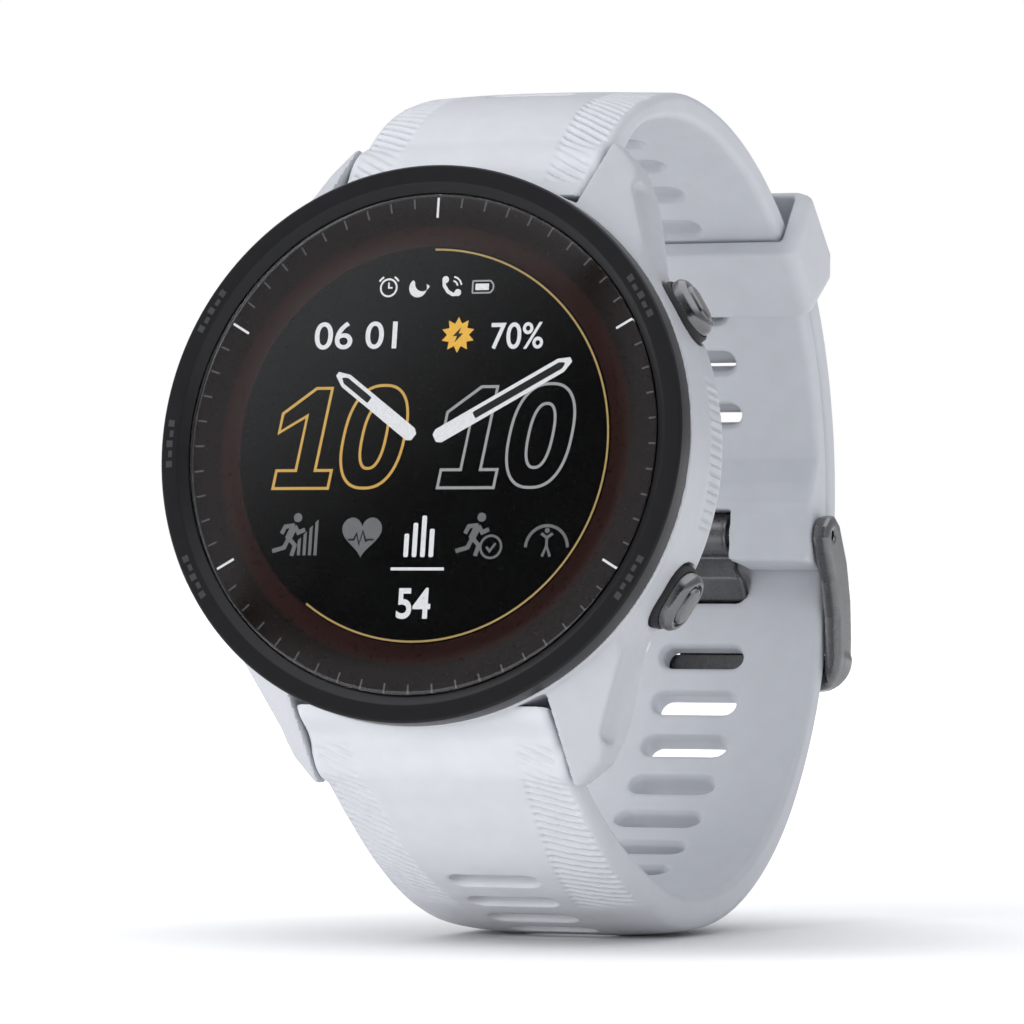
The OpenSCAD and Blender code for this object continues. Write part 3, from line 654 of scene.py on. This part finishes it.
pulse = [(-6.2, -7.9), (-5.7, -7.9), (-5.45, -7.4), (-5.2, -8.3), (-4.9, -7.2), (-4.6, -8.0),
         (-4.4, -7.9), (-3.9, -7.9)]
art("heart_pulse", stroke(pulse, 0.16), slot_black, layer=1)
for k, (x, top) in enumerate(((-0.95, -7.4), (-0.2, -6.5), (0.55, -5.9), (1.3, -7.0))):
    art(f"load_bar_{k}", [rounded([(x - 0.2, -9.35), (x + 0.22, -9.35), (x + 0.22, top),
                                   (x - 0.2, top)], 0.15, 3)], white_ink_painted_glow)
art("underline", [[(-2.2, -10.45), (2.55, -10.45), (2.55, -10.2), (-2.2, -10.2)]], white_ink_painted_glow)
label("load_figures", "54", (0.0, -13.1), 2.55, 0.9, white_ink_painted_glow, heavy=0.07)
art("gauge_arc", stroke(circle(11.5, -8.6, 1.85, -88, 88, 10), 0.26), grey_ink_painted_glow)
for k, line in enumerate(([(11.5, -7.6), (11.5, -8.5)], [(11.0, -7.4), (11.5, -7.75), (12.0, -7.4)],
                          [(11.15, -9.3), (11.5, -8.4), (11.85, -9.3)])):
    art(f"gauge_figure_{k}", stroke(line, 0.24), grey_ink_painted_glow, layer=k % 2)
art("gauge_head", [circle(11.5, -7.15, 0.22, step=30)], grey_ink_painted_glow)


# ---- middle case ----

FLANK = [(LEDGE_R, BEZEL_BACK), (BEZEL_R + 0.02, BEZEL_BACK + 0.05), (BEZEL_R + 0.12, BEZEL_BACK + 0.4),
         (23.05, 2.8), (23.0, 5), (23.0, 9.6), (22.4, 11), (21.4, 12), (20.0, CASE_BACK),
         (MOUTH_R, CASE_BACK), (MOUTH_R, CASE_BACK - 1.2), (CAVITY_R, CASE_BACK - 1.2),
         (CAVITY_R, LEDGE_Y), (LEDGE_R, LEDGE_Y)]
LUG_FRONT = [(LUG_IN, 12), (18.6, 12), (17.1, 17), (15.2, 21.4), (13.9, 24.9), (11.9, LUG_TIP),
             (LUG_IN, LUG_TIP)]
LUG_SIDE = [(BEZEL_BACK, 12), (BEZEL_BACK, LUG_TIP - 1), (8.7, LUG_TIP), (9.8, LUG_TIP),
            (11.2, 26.8), (CASE_BACK, 25), (CASE_BACK + 0.5, 23), (CASE_BACK + 0.5, 19.5),
            (CASE_BACK, 18.5), (CASE_BACK, 12)]
LUG_PLAN = [(LUG_IN, BEZEL_BACK), (17.4, BEZEL_BACK), (17.4, 9.4), (15, CASE_BACK + 0.6),
            (LUG_IN, CASE_BACK + 0.6)]
LUG_FACET = np.array([LUG_IN, 3.2, 21.3])
FACET_OUT = np.array([1, -1, 1.07]) / math.sqrt(2 + 1.07 ** 2)


def lug_field(wide, y, tall):
    """One lug: its outlines, a plane front, and a shallow scoop down its side behind the front."""
    lug = soft_max(soft_max(outline_field(LUG_FRONT, wide, tall),
                            outline_field(LUG_SIDE, y, tall), 0.4),
                   outline_field(LUG_PLAN, wide, y), 0.4)
    front = (wide - LUG_FACET[0]) * FACET_OUT[0] + (y - LUG_FACET[1]) * FACET_OUT[1] \
        + (tall - LUG_FACET[2]) * FACET_OUT[2]
    lug = soft_max(lug, front, 0.35)
    edge = 15.2 - 0.44 * (tall - 21.4)
    scoop = np.hypot(wide - edge - 1.15, (y - 8.6 - 0.5 * (tall - 21.4)) * 0.75) - 1.75
    return soft_max(lug, -soft_max(scoop, np.abs(tall - 19.2) - 4.3, 1.2), 0.25)


def eased(value, low, high):
    t = np.clip((value - low) / (high - low), 0, 1)
    return t * t * (3 - 2 * t)


def case_field(x, y, z):
    r = np.hypot(x, z)
    wide, tall = np.abs(x), np.abs(z)
    flank = outline_field(FLANK, r, y)
    pocket = soft_max(soft_max(wide - LUG_IN, RIM_BACK - y, 0.3), LUG_WALL - tall, 0.3)
    lug = np.maximum(lug_field(wide, y, tall), CAVITY_R - r)
    body = soft_min(soft_max(flank, -pocket, 0.3), lug, 0.5)
    inside = np.minimum(np.maximum(r - LEDGE_R, y - LEDGE_Y), r - MOUTH_R)
    inside = np.minimum(inside, np.maximum(r - CAVITY_R, y - (CASE_BACK - 1.2)))
    body = np.maximum(body, -inside)
    body = np.maximum(body, BEZEL_BACK + 0.02 - y)
    angle = np.degrees(np.arctan2(x, z))
    gripped = eased(angle, 72, 75) * (1 - eased(angle, 104, 108)) * eased(y, 6.6, 7.4)
    teeth = 0.5 + 0.5 * np.cos(2 * math.pi * angle / GRIP_PITCH)
    body = body + GRIP_DEPTH * gripped * (1 - eased(y, 9.8, 10.6)) * teeth
    for clock in BUTTONS.values():
        a = math.radians(clock)
        out, along = x * math.sin(a) + z * math.cos(a), x * math.cos(a) - z * math.sin(a)
        well = np.maximum(stadium_field(along, y - BUTTON_Y, BUTTON_L + 0.9, BUTTON_W + 0.9),
                          RECESS_R - out)
        body = soft_max(body, -well, 0.35)
    for side in (-1, 1):
        pin = np.maximum(np.hypot(y - PIN[0], z - side * PIN[1]) - PIN_R - 0.02, wide - LUG_IN - 1.1)
        body = np.maximum(body, -pin)
    return body


points, quads = surface_net(case_field, [grid_axis(-23.8, 23.8, 0.27), grid_axis(1.3, 13.3, 0.22),
                                         grid_axis(-27.6, 27.6, 0.27)])
add_piece("case_body", points, quads, polymer, slot="case_polymer", stands_for=["mid_case"])


# ---- buttons ----

def at_clock(points, clock):
    """Carries (along, depth, out) points to a clock angle on the case's flank."""
    a = math.radians(clock)
    along, depth, out = np.asarray(points, float).T
    return np.stack([along * math.cos(a) + out * math.sin(a), depth + BUTTON_Y,
                     out * math.cos(a) - along * math.sin(a)], 1)


def button_rings(profile):
    """Rings of a button's outline, stepped in by an inset at each height out."""
    rings = []
    for inset, out in profile:
        ring = stadium(BUTTON_L - 2 * inset, BUTTON_W - 2 * inset)
        rings.append(np.column_stack([ring, np.full(len(ring), out)]))
    return rings


CAP_PROFILE = [(0.1, CAP_IN), (0, CAP_IN + 0.1), (0, CAP_OUT - 0.75), (0.06, CAP_OUT - 0.6),
               (0.3, CAP_OUT - 0.32), (0.42, CAP_OUT - 0.25), (0.62, CAP_OUT - 0.25),
               (0.7, CAP_OUT - 0.45), (0.85, CAP_OUT - 0.45), (0.95, CAP_OUT - 0.15),
               (1.15, CAP_OUT - 0.02), (1.5, CAP_OUT)]
# Dark rubber rings at the buttons' feet: partly a real seal, partly painted shade for the dark gap round
# each cap.
SEAL_AND_SHADE_RING_PROFILE = [(0.02, CAP_IN - 0.6), (-0.3, CAP_IN - 0.6), (-0.3, 23.2), (-0.2, 23.35),
                (-0.05, 23.35), (0.02, 23.25)]
for name, clock in BUTTONS.items():
    points, faces = loft(button_rings(CAP_PROFILE))
    stem = [[(r * math.cos(a), r * math.sin(a), out)
             for a in np.linspace(0, 2 * math.pi, 32, endpoint=False)]
            for r, out in ((STEM_R, STEM_IN), (STEM_R, 18.95), (STEM_R - 0.25, 18.95),
                           (STEM_R - 0.25, 19.35), (STEM_R, 19.35), (STEM_R, CAP_IN + 0.05))]
    stem_points, stem_faces = loft([np.array(ring) for ring in stem])
    faces = faces + [tuple(i + len(points) for i in face) for face in stem_faces]
    points = at_clock(np.concatenate([points, stem_points]), clock)
    add_piece(f"{name}_cap", points, faces, button_metal, body=f"{name}_button_body",
              slot="button_metal", stands_for=[f"{name}_button"], crease=25)
    # Each ring below is a seal that also carries painted shade from the gap round the cap.
    rings = button_rings(SEAL_AND_SHADE_RING_PROFILE)
    add_piece(f"{name}_gasket", at_clock(np.concatenate(rings), clock),
              band_faces(len(rings), len(rings[0]), True), rubber, slot="seal_rubber")


# ---- strap ----

def turn_left(heading):
    return np.array([-math.sin(heading), math.cos(heading)])


def arc(centre, r, start, end, step=math.radians(4)):
    n = max(2, int(math.ceil(abs(end - start) / step)))
    a = np.linspace(start, end, n + 1)
    return centre + r * np.stack([np.cos(a), np.sin(a)], 1)


def strap_face(heading, run, bend_r, new_heading, wrap_c, wrap_r, wrap_end):
    """The outer face from the lug: a run, a bend, then a blend onto the circle round the wrist."""
    left = turn_left(heading)
    first = PIN + KNUCKLE_R * left
    start = first + run * np.array([math.cos(heading), math.sin(heading)])
    c1 = start - bend_r * left
    u = -turn_left(new_heading)
    p1 = c1 - bend_r * u
    d = p1 - wrap_c
    blend_r = (wrap_r ** 2 - d @ d) / (2 * (d @ u + wrap_r))
    c2 = p1 + blend_r * u
    n = (c2 - wrap_c) / (wrap_r - blend_r)
    meet = math.atan2(n[1], n[0])
    quarter = math.pi / 2
    return np.concatenate([
        [first], arc(c1, bend_r, heading + quarter, new_heading + quarter),
        arc(c2, blend_r, new_heading + quarter, meet)[1:], arc(wrap_c, wrap_r, meet, wrap_end)[1:]])


def end_thickness(points):
    """Extra thickness at the short strap's end, where it carries the buckle's bar."""
    run = np.r_[0, np.cumsum(np.linalg.norm(np.diff(points, axis=0), axis=1))]
    return 2.25 * eased(run - run[-1], -12, -6.5)


class FaceLine:
    """A strap's outer face as a smooth line of (depth, height), with its thickness inwards."""

    STEP = 0.2
    LEAD = 8.4

    def __init__(self, points, thick, inward):
        run = np.r_[0, np.cumsum(np.linalg.norm(np.diff(points, axis=0), axis=1))]
        self.length = run[-1]
        self.s = np.arange(-self.LEAD, self.length + self.LEAD, self.STEP)
        ends = [points[0] + (points[0] - points[1]) / run[1] * self.LEAD,
                points[-1] + (points[-1] - points[-2]) / (run[-1] - run[-2]) * self.LEAD]
        knots = np.r_[-self.LEAD, run, self.length + self.LEAD]
        line = np.concatenate([[ends[0]], points, [ends[1]]])
        line = np.stack([np.interp(self.s, knots, line[:, k]) for k in (0, 1)], 1)
        kernel = np.exp(-np.linspace(-2.5, 2.5, 15) ** 2)
        kernel /= kernel.sum()
        pad = np.concatenate([np.repeat(line[:1], 7, 0), line, np.repeat(line[-1:], 7, 0)])
        smooth = np.stack([np.convolve(pad[:, k], kernel, "valid") for k in (0, 1)], 1)
        self.line = np.concatenate([line[:8], smooth[8:-8], line[-8:]])
        along = np.gradient(self.line, axis=0)
        along /= np.linalg.norm(along, axis=1, keepdims=True)
        self.normal = inward * np.stack([along[:, 1], -along[:, 0]], 1)
        self.thick = np.interp(self.s, run, thick)

    def depth_height(self, s, t):
        """The dial frame's Y and Z at a run along the line and a depth in."""
        return [np.interp(s, self.s, self.line[:, k]) + t * np.interp(s, self.s, self.normal[:, k])
                for k in (0, 1)]

    def place(self, s, x, t):
        """Points in the dial frame from a run along the line, a place across and a depth in."""
        return np.stack(np.broadcast_arrays(x, *self.depth_height(s, t)), -1)

    def run_at(self, centre, angle, among):
        """Where the line passes an angle about a centre, within a stretch of it."""
        near = (self.s > among[0]) & (self.s < among[1])
        d = self.line[near] - centre
        a = np.unwrap(np.arctan2(d[:, 1], d[:, 0]))
        a += round((angle - a.mean()) / (2 * math.pi)) * 2 * math.pi
        order = np.argsort(a)
        return np.interp(angle, a[order], self.s[near][order])


def lug_thickness(count):
    return np.array([STRAP_T + 2.2 * max(0, 1 - i / count * 2.8) ** 2 for i in range(count)])


upper = strap_face(math.radians(53.9), 1, 18, math.radians(20), WRIST_C, WRIST_R, math.radians(-4.5))
short_line = FaceLine(upper, lug_thickness(len(upper)) + end_thickness(upper), 1)
lower = strap_face(math.radians(48), 0.3, 7.7, math.radians(30), UNDER_C * (1, -1), UNDER_R,
                   math.radians(2.5))
tail = arc(WRIST_C, TAIL_OUT, 0, TAIL_END + math.radians(2))
long_line = FaceLine(np.concatenate([lower * (1, -1), tail]),
                     np.r_[lug_thickness(len(lower)), np.full(len(tail), STRAP_T - 0.1)], -1)
SHORT_END = short_line.length
LONG_END = long_line.length
step_angle = SLOT_PITCH / (UNDER_R - 1)
short_slots = [short_line.run_at(WRIST_C, math.radians(22.5) + SHORT_PITCH / (WRIST_R - 1) * i,
                                 (8, SHORT_END)) for i in range(11)]
JOIN = long_line.run_at(UNDER_C, math.radians(-2.5), (60, LONG_END))
long_slots = [long_line.run_at(UNDER_C, math.radians(0.785 * max(0, i - 6) - 10.9) - step_angle * i,
                               (4, JOIN + 2)) for i in range(14)]
tail_slots = [long_line.run_at(WRIST_C, math.radians(12) + SLOT_PITCH / (TAIL_R + 1) * i,
                               (JOIN, LONG_END)) for i in range(5)]


class Ribs:
    """Fine ribs along a strap's edges: where they start and stop, how far in, and their slant."""

    def __init__(self, start, stop, inner_start, inner_stop, slant):
        self.start, self.stop, self.slant = start, stop, slant
        self.inner_start, self.inner_stop = inner_start, inner_stop

    def depth(self, s, x):
        wide = np.abs(x)
        share = np.clip((s - self.start) / (self.stop - self.start), 0, 1)
        inner = self.inner_start + (self.inner_stop - self.inner_start) * share
        reach = eased(s, self.start, self.start + 2) * (1 - eased(s, self.stop - 3, self.stop))
        reach = reach * eased(wide, inner - 0.3, inner + 0.3) * (1 - eased(wide, 10.3, 10.7))
        wave = 0.5 - 0.5 * np.cos(2 * math.pi * (s + self.slant * x) / RIB_PITCH)
        return RIB_DEPTH * reach * wave ** 1.6


def strap_field(line, slots, ribs, sunk, swell):
    """The plain strap: crowned near the lug, ribbed at its edges there, pierced by bevelled slots."""
    slots = np.sort(slots)

    def field(s, x, t):
        wide = np.abs(x)
        thick = np.interp(s, line.s, line.thick)
        near_lug = eased(s, -3, 3) * (1 - eased(s, 8, 24))
        top = sunk * near_lug * (wide / STRAP_HALF) ** 2.5 + ribs.depth(s, x) - swell(s, x)
        top = top - 0.7 * eased(-s, 3, 6)
        half = (thick - top) / 2
        body = corner_field(wide - STRAP_HALF, np.abs(t - top - half) - half, 0.7)
        after = np.clip(np.searchsorted(slots, s), 1, len(slots) - 1)
        gap = np.where(np.abs(s - slots[after - 1]) < np.abs(s - slots[after]),
                       s - slots[after - 1], s - slots[after])
        flare = 0.3 * eased(t, thick - 0.6, thick) + 0.12 * (1 - eased(t, 0, 0.4))
        hole = stadium_field(x, gap, SLOT_W, SLOT_H) - flare
        return soft_max(body, -hole, 0.12)
    return field


def strap_axes(ribs, slots, end):
    """Grid lines along and across a strap: close in the ribs and at the slots, wide between them."""
    run = [-STRAP_REACH - 0.4]
    while run[-1] < end:
        at_slot = np.abs(slots - run[-1]).min() < 1.7 or run[-1] > end - 14
        step = RIB_GRID if run[-1] < ribs.stop else SLOT_GRID if at_slot else PLAIN_GRID
        run.append(run[-1] + step * COARSE)
    edge = np.arange(3.0, STRAP_HALF + 0.4, 0.24 * COARSE)
    middle = np.linspace(-3.0, 3.0, int(15 / COARSE))[1:-1]
    return np.array(run), np.r_[-edge[::-1], middle, edge]


def no_swell(s, x):
    return 0.0


def under_swell(s, x):
    """The long strap's outer face bulges across where the watch stands on it."""
    y, z = (np.interp(s, long_line.s, long_line.line[:, k]) for k in (0, 1))
    a = np.degrees(np.abs(np.arctan2(z - UNDER_C[1], y - UNDER_C[0])))
    rise = (1 - eased(a, 118, 136)) * eased(a, 26, 42) * (s < JOIN)
    return CROWN_H * rise * np.sqrt(1 - np.minimum(np.abs(x) / STRAP_HALF, 1) ** 3)


RIBS_SHORT = Ribs(-4, 17, 7.3, 6.8, 0.62)
RIBS_LONG = Ribs(-3, 22, 7.6, 5.6, -0.62)
short_body = strap_field(short_line, np.array(short_slots), RIBS_SHORT, 0.9, no_swell)
long_body = strap_field(long_line, np.array(long_slots + tail_slots), RIBS_LONG, 0.7, under_swell)


def lug_end(body, s, x, y, z, t):
    """Cuts a strap's end to the space between the lugs, with a knuckle round the lug bar."""
    knuckle = soft_max(np.hypot(s, t - KNUCKLE_R) - KNUCKLE_R + 0.05, np.abs(x) - STRAP_HALF, 0.6)
    wall = np.minimum(LUG_WALL + 0.1 - np.abs(z), CASE_BACK + 1 - y)
    body = soft_min(soft_max(body, -s - STRAP_REACH, 0.2), knuckle, 0.8)
    body = np.maximum(body, np.where(s < 12, wall, -1.0))
    return np.maximum(body, PIN_R - np.hypot(s, t - KNUCKLE_R))


def off_hinge(y, z):
    return np.hypot(y - HINGE[0], z - HINGE[1])


def short_field(s, x, t):
    y, z = short_line.depth_height(s, t)
    body = lug_end(soft_max(short_body(s, x, t), s - SHORT_END + 0.4, 0.5), s, x, y, z, t)
    eye = soft_max(off_hinge(y, z) - EYE_R, np.abs(x) - STRAP_HALF, 0.8)
    body = soft_min(body, eye, 0.5)
    body = np.maximum(body, BAR_R + 0.02 - off_hinge(y, z))
    notch = np.maximum(np.abs(x) - NOTCH_W / 2, z - HINGE[1] - 2.1)
    notch = np.minimum(notch, np.maximum(np.abs(x) - TONGUE_W / 2 - 0.3, z - 0.2))
    return soft_max(body, -np.maximum(notch, HINGE[0] - 5 - y), 0.15)


CROSS_IN = np.array([HINGE[0] + BAR_R + 0.06 + TONGUE_T / 2, -0.9])
CROSS_OUT = np.array([70.1, -5.0])


def long_field(s, x, t):
    y, z = long_line.depth_height(s, t)
    body = lug_end(soft_max(long_body(s, x, t), s - LONG_END, 0.8), s, x, y, z, t)
    along = (CROSS_OUT - CROSS_IN) / np.linalg.norm(CROSS_OUT - CROSS_IN)
    middle = (CROSS_IN + CROSS_OUT) / 2
    run = (y - middle[0]) * along[0] + (z - middle[1]) * along[1]
    off = -(y - middle[0]) * along[1] + (z - middle[1]) * along[0]
    slit = np.maximum(stadium_field(x, off - 0.45, TONGUE_W + 0.3, 2.4), np.abs(run) - 6)
    return soft_max(body, -slit, 0.3)


for name, line, field, ribs, slots, end, node in (
        ("strap_short", short_line, short_field, RIBS_SHORT, short_slots, SHORT_END + 2.5, "short_strap"),
        ("strap_long", long_line, long_field, RIBS_LONG, long_slots + tail_slots, LONG_END + 0.3,
         "long_strap")):
    run, across = strap_axes(ribs, np.array(slots), end)
    points, quads = surface_net(field, [run, across, grid_axis(-1.5, 5.3, 0.23)])
    points = line.place(*points.T)
    add_piece(name, points, quads, silicone, slot="strap_silicone", stands_for=[node], crease=60)


# ---- keeper ----

def wrist_point(r, angle):
    return WRIST_C + r * np.array([math.cos(angle), math.sin(angle)])


def keeper_field(x, y, z):
    r0, r1 = WRIST_R - STRAP_T - 0.25, TAIL_OUT + 0.3
    a0, a1 = KEEPER_ANGLE - KEEPER_HALF, KEEPER_ANGLE + KEEPER_HALF
    degree = math.radians(1)
    outside = np.concatenate([
        arc(WRIST_C, r0 - KEEPER_WALL, a1 - degree, a0 + degree),
        [wrist_point(r0, a0), wrist_point(r1 + 0.2, a0),
         wrist_point(r1 + KEEPER_WALL + 0.5, a0 + 3.5 * degree),
         wrist_point(r1 + KEEPER_WALL + 0.1, a1 - 2 * degree),
         wrist_point(r1 + 0.4, a1), wrist_point(r0, a1)]])
    wide = np.abs(x)
    body = soft_max(outline_field(outside, y, z), wide - KEEPER_IN - KEEPER_WALL, 1.5)
    r = np.hypot(y - WRIST_C[0], z - WRIST_C[1])
    hollow = soft_max(soft_max(r0 - r, r - r1, 0.4), wide - KEEPER_IN, 0.4)
    return soft_max(body, -hollow, 0.35)


points, quads = surface_net(keeper_field, [
    grid_axis(-13.0, 13.0, 0.22), grid_axis(50, 66.5, 0.22), grid_axis(18.5, 36.5, 0.22)])
add_piece("strap_keeper", points, quads, silicone, body="keeper_body", slot="strap_silicone",
          stands_for=["keeper"], crease=50)


# ---- buckle ----

ARM = [(62.9, 3.4), (63.7, 4.2), (65, 4.6), (66.4, 4), (68.8, 1), (70.4, -2.4), (71.2, -6),
       (71.3, -8.6), (70.9, BAR_BASE + 0.2), (69.3, BAR_BASE), (67.9, -9.4), (67.4, -7), (66.9, -4.5),
       (65.4, -1.4), (63.5, 0.8), (62.7, 2.2)]
CROSSBAR = [(69.2, -7.6), (71.3, -7.6), (71.3, -8.6), (70.9, BAR_BASE + 0.2), (69.3, BAR_BASE)]


def frame_field(x, y, z):
    wide = np.abs(x)
    arms = soft_max(soft_max(outline_field(ARM, y, z), FRAME_IN - wide, 0.4),
                    wide - FRAME_OUT, 0.8)
    bar = soft_max(outline_field(CROSSBAR, y, z), wide - FRAME_OUT, 0.4)
    body = soft_min(arms, bar, 0.6)
    body = soft_max(body, corner_field(wide - FRAME_OUT, BAR_BASE - z, 3.4), 0.5)
    hinge = off_hinge(y, z)
    body = np.maximum(body, -np.maximum(hinge - BAR_R - 0.06, wide - FRAME_OUT + 0.5))
    body = np.maximum(body, -np.maximum(hinge - 0.45, FRAME_OUT - 0.7 - wide))
    notch = np.maximum(np.maximum(wide - TONGUE_W / 2 - 0.4, 70.4 - y), z)
    return soft_max(body, -notch, 0.3)


points, quads = surface_net(frame_field, [
    grid_axis(-13.3, 13.3, 0.2), grid_axis(62.6, 71.7, 0.18), grid_axis(-11.4, 5.1, 0.2)])
add_piece("buckle_loop", points, quads, gunmetal, body="frame_body", slot="buckle_metal",
          stands_for=["buckle_frame"])

TONGUE_LINE = [(CROSS_IN[0], HINGE[1]), CROSS_IN, CROSS_OUT, (70.95, -7.5), (70.95, -10.3)]


def tongue_field(x, y, z):
    wide = np.abs(x)
    plate = line_field(TONGUE_LINE, y, z) - TONGUE_T / 2
    width = CURL_W / 2 + (TONGUE_W - CURL_W) / 2 * (1 - eased(z, -1.2, 0))
    plate = soft_max(plate, wide - width, 0.35)
    bore = off_hinge(y, z) - BAR_R - 0.06
    curl = soft_max(bore - TONGUE_T, wide - CURL_W / 2, 0.35)
    return np.maximum(soft_min(plate, curl, 0.3), -bore)


points, quads = surface_net(tongue_field, [
    grid_axis(-3.8, 3.8, 0.16), grid_axis(62.2, 71.7, 0.14), grid_axis(-11.1, 4.9, 0.14)])
add_piece("buckle_prong", points, quads, gunmetal, body="tongue_body", slot="buckle_metal",
          stands_for=["buckle_tongue"])


# ---- CAD nodes that keep their shape ----

FINISHES = {
    rubber: ["bezel_gasket", "button_seals", "back_gasket"],
    solar: ["solar_ring"],
    panel_black: ["display_panel"],
    dark_plastic: ["display_frame", "buzzer", "pressure_vent", "button_switches", "charge_socket"],
    gilt: ["antenna_ring", "charge_pins"],
    board_green: ["main_board", "sensor_board"],
    foil: ["battery", "board_shields"],
    steel: ["vibration_motor", "button_bushes", "back_screws", "upper_lug_bar", "lower_lug_bar",
            "bar_levers", "buckle_bar"] + [f"{name}_clip" for name in BUTTONS],
    back_white: ["back_cover"],
    sensor_black: ["sensor_window"],
}
for material, names in FINISHES.items():
    for name in names:
        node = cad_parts[name]
        node.data.materials.clear()
        node.data.materials.append(material)


# ---- floor, light and camera ----

def add_floor():
    mesh = bpy.data.meshes.new("floor")
    size = 6.0
    mesh.from_pydata([(-size, -size, 0), (size, -size, 0), (size, size, 0), (-size, size, 0)],
                     [], [(0, 1, 2, 3)])
    floor = bpy.data.objects.new("floor", mesh)
    bpy.context.scene.collection.objects.link(floor)
    material, tree, shader = new_material("floor_paper")
    grain = noise(tree, 0.02, 2)
    link(tree, ramp(tree, grain.outputs["Fac"], [(0.3, (0.86, 0.86, 0.86)), (0.7, (0.88, 0.88, 0.88))]),
         shader.inputs["Base Color"])
    # The floor glows: there is no emission close to the watch, and it rises outwards to near white far
    # off. The dark round the watch is the lamps' shadow deepened with painted shade.
    set_values(shader, Roughness=0.9, Emission_Strength=1.0)
    place = add_node(tree, "ShaderNodeTexCoord")
    away = add_node(tree, "ShaderNodeVectorMath", "LENGTH")
    link(tree, place.outputs["Object"], away.inputs[0])
    share = add_node(tree, "ShaderNodeMapRange", From_Max=300 * MM)
    link(tree, away.outputs["Value"], share.inputs["Value"])
    link(tree, ramp(tree, share.outputs["Result"], [(0.04, (0, 0, 0)), (0.14, (0.42, 0.42, 0.42)),
                                                    (1, (0.8, 0.8, 0.8))]),
         shader.inputs["Emission Color"])
    mesh.materials.append(material)


def add_light(name, place, power, colour=(1, 1, 1)):
    """A soft lamp 500 mm square, its place in millimetres from the dial's middle, aimed at the watch."""
    lamp = bpy.data.lights.new(name, "AREA")
    lamp.energy = power
    lamp.size = 500 * MM
    lamp.color = colour
    lamp_object = bpy.data.objects.new(name, lamp)
    target = Vector(to_row([0, 30, 0]))
    lamp_object.visible_glossy = False
    lamp_object.visible_transmission = False
    lamp_object.location = target + Vector(place) * MM
    lamp_object.rotation_euler = (target - lamp_object.location).to_track_quat("-Z", "Y").to_euler()
    bpy.context.scene.collection.objects.link(lamp_object)


def add_world():
    """A white studio with a dark card in front, whose edge grades across the glass.

    Diffuse rays see a soft grey-blue, camera rays plain white, and all others the studio.
    """
    world = bpy.data.worlds.new("studio")
    bpy.context.scene.world = world
    world.use_nodes = True
    tree = world.node_tree
    place = add_node(tree, "ShaderNodeTexCoord")

    def share(direction, low, high):
        """From 0 to 1 as a direction turns from low to high along another."""
        dot = add_node(tree, "ShaderNodeVectorMath", "DOT_PRODUCT")
        dot.inputs[1].default_value = Vector(direction).normalized()
        link(tree, place.outputs["Generated"], dot.inputs[0])
        node = add_node(tree, "ShaderNodeMapRange", From_Min=low, From_Max=high)
        node.interpolation_type = "SMOOTHSTEP"
        link(tree, dot.outputs["Value"], node.inputs["Value"])
        return node.outputs["Result"]
    card = add_node(tree, "ShaderNodeMath", "MULTIPLY")
    link(tree, share((0, -1, 0), 0.6, 0.8), card.inputs[0])
    link(tree, share((1, 0, -1), -0.525, -0.485), card.inputs[1])
    glossy = add_node(tree, "ShaderNodeBackground")
    link(tree, ramp(tree, card.outputs["Value"], [(0, (0.5, 0.505, 0.52)), (1, (0.03, 0.03, 0.03))]),
         glossy.inputs["Color"])
    ceiling = add_node(tree, "ShaderNodeMapRange", To_Min=1.0, To_Max=3.5)
    link(tree, share((0, 0, 1), 0.45, 0.8), ceiling.inputs["Value"])
    link(tree, ceiling.outputs["Result"], glossy.inputs["Strength"])
    white = add_node(tree, "ShaderNodeBackground", Color=(1, 1, 1, 1))
    tree.nodes["Background"].inputs["Color"].default_value = (0.36, 0.375, 0.40, 1)
    seen = add_node(tree, "ShaderNodeLightPath")
    shaders = [glossy.outputs["Background"]]
    for ray, shader in (("Is Diffuse Ray", tree.nodes["Background"]), ("Is Camera Ray", white)):
        mix = add_node(tree, "ShaderNodeMixShader")
        link(tree, seen.outputs[ray], mix.inputs["Fac"])
        link(tree, shaders[-1], mix.inputs[1])
        link(tree, shader.outputs["Background"], mix.inputs[2])
        shaders.append(mix.outputs["Shader"])
    link(tree, shaders[-1], tree.nodes["World Output"].inputs["Surface"])


def add_camera():
    """Looks at the watch from low on its right, 533 mm off, as a long lens does."""
    azimuth, elevation, distance = math.radians(22.77), math.radians(-0.37), 0.5333
    aim = Vector(to_row([0, 0, 0])) + Vector((7.0, 3.0, -5.66)) * MM
    away = Vector((math.sin(azimuth) * math.cos(elevation), -math.cos(azimuth) * math.cos(elevation),
                   math.sin(elevation)))
    camera = bpy.data.cameras.new("camera")
    camera.lens, camera.sensor_width = 228.5, 36
    camera.clip_start, camera.clip_end = 0.01, 50
    camera_object = bpy.data.objects.new("camera", camera)
    camera_object.location = aim + away * distance
    camera_object.rotation_euler = (-away).to_track_quat("-Z", "Y").to_euler()
    bpy.context.scene.collection.objects.link(camera_object)
    bpy.context.scene.camera = camera_object


add_floor()
add_world()
add_light("front", (-200, -1000, 60), 7.6, (1, 0.99, 0.97))
add_light("key", (-500, -450, 700), 1.5)
add_light("left", (-950, -200, 300), 1.2)
add_light("right", (900, -400, 300), 0.9)
add_camera()
bpy.context.scene.view_settings.view_transform = "Standard"
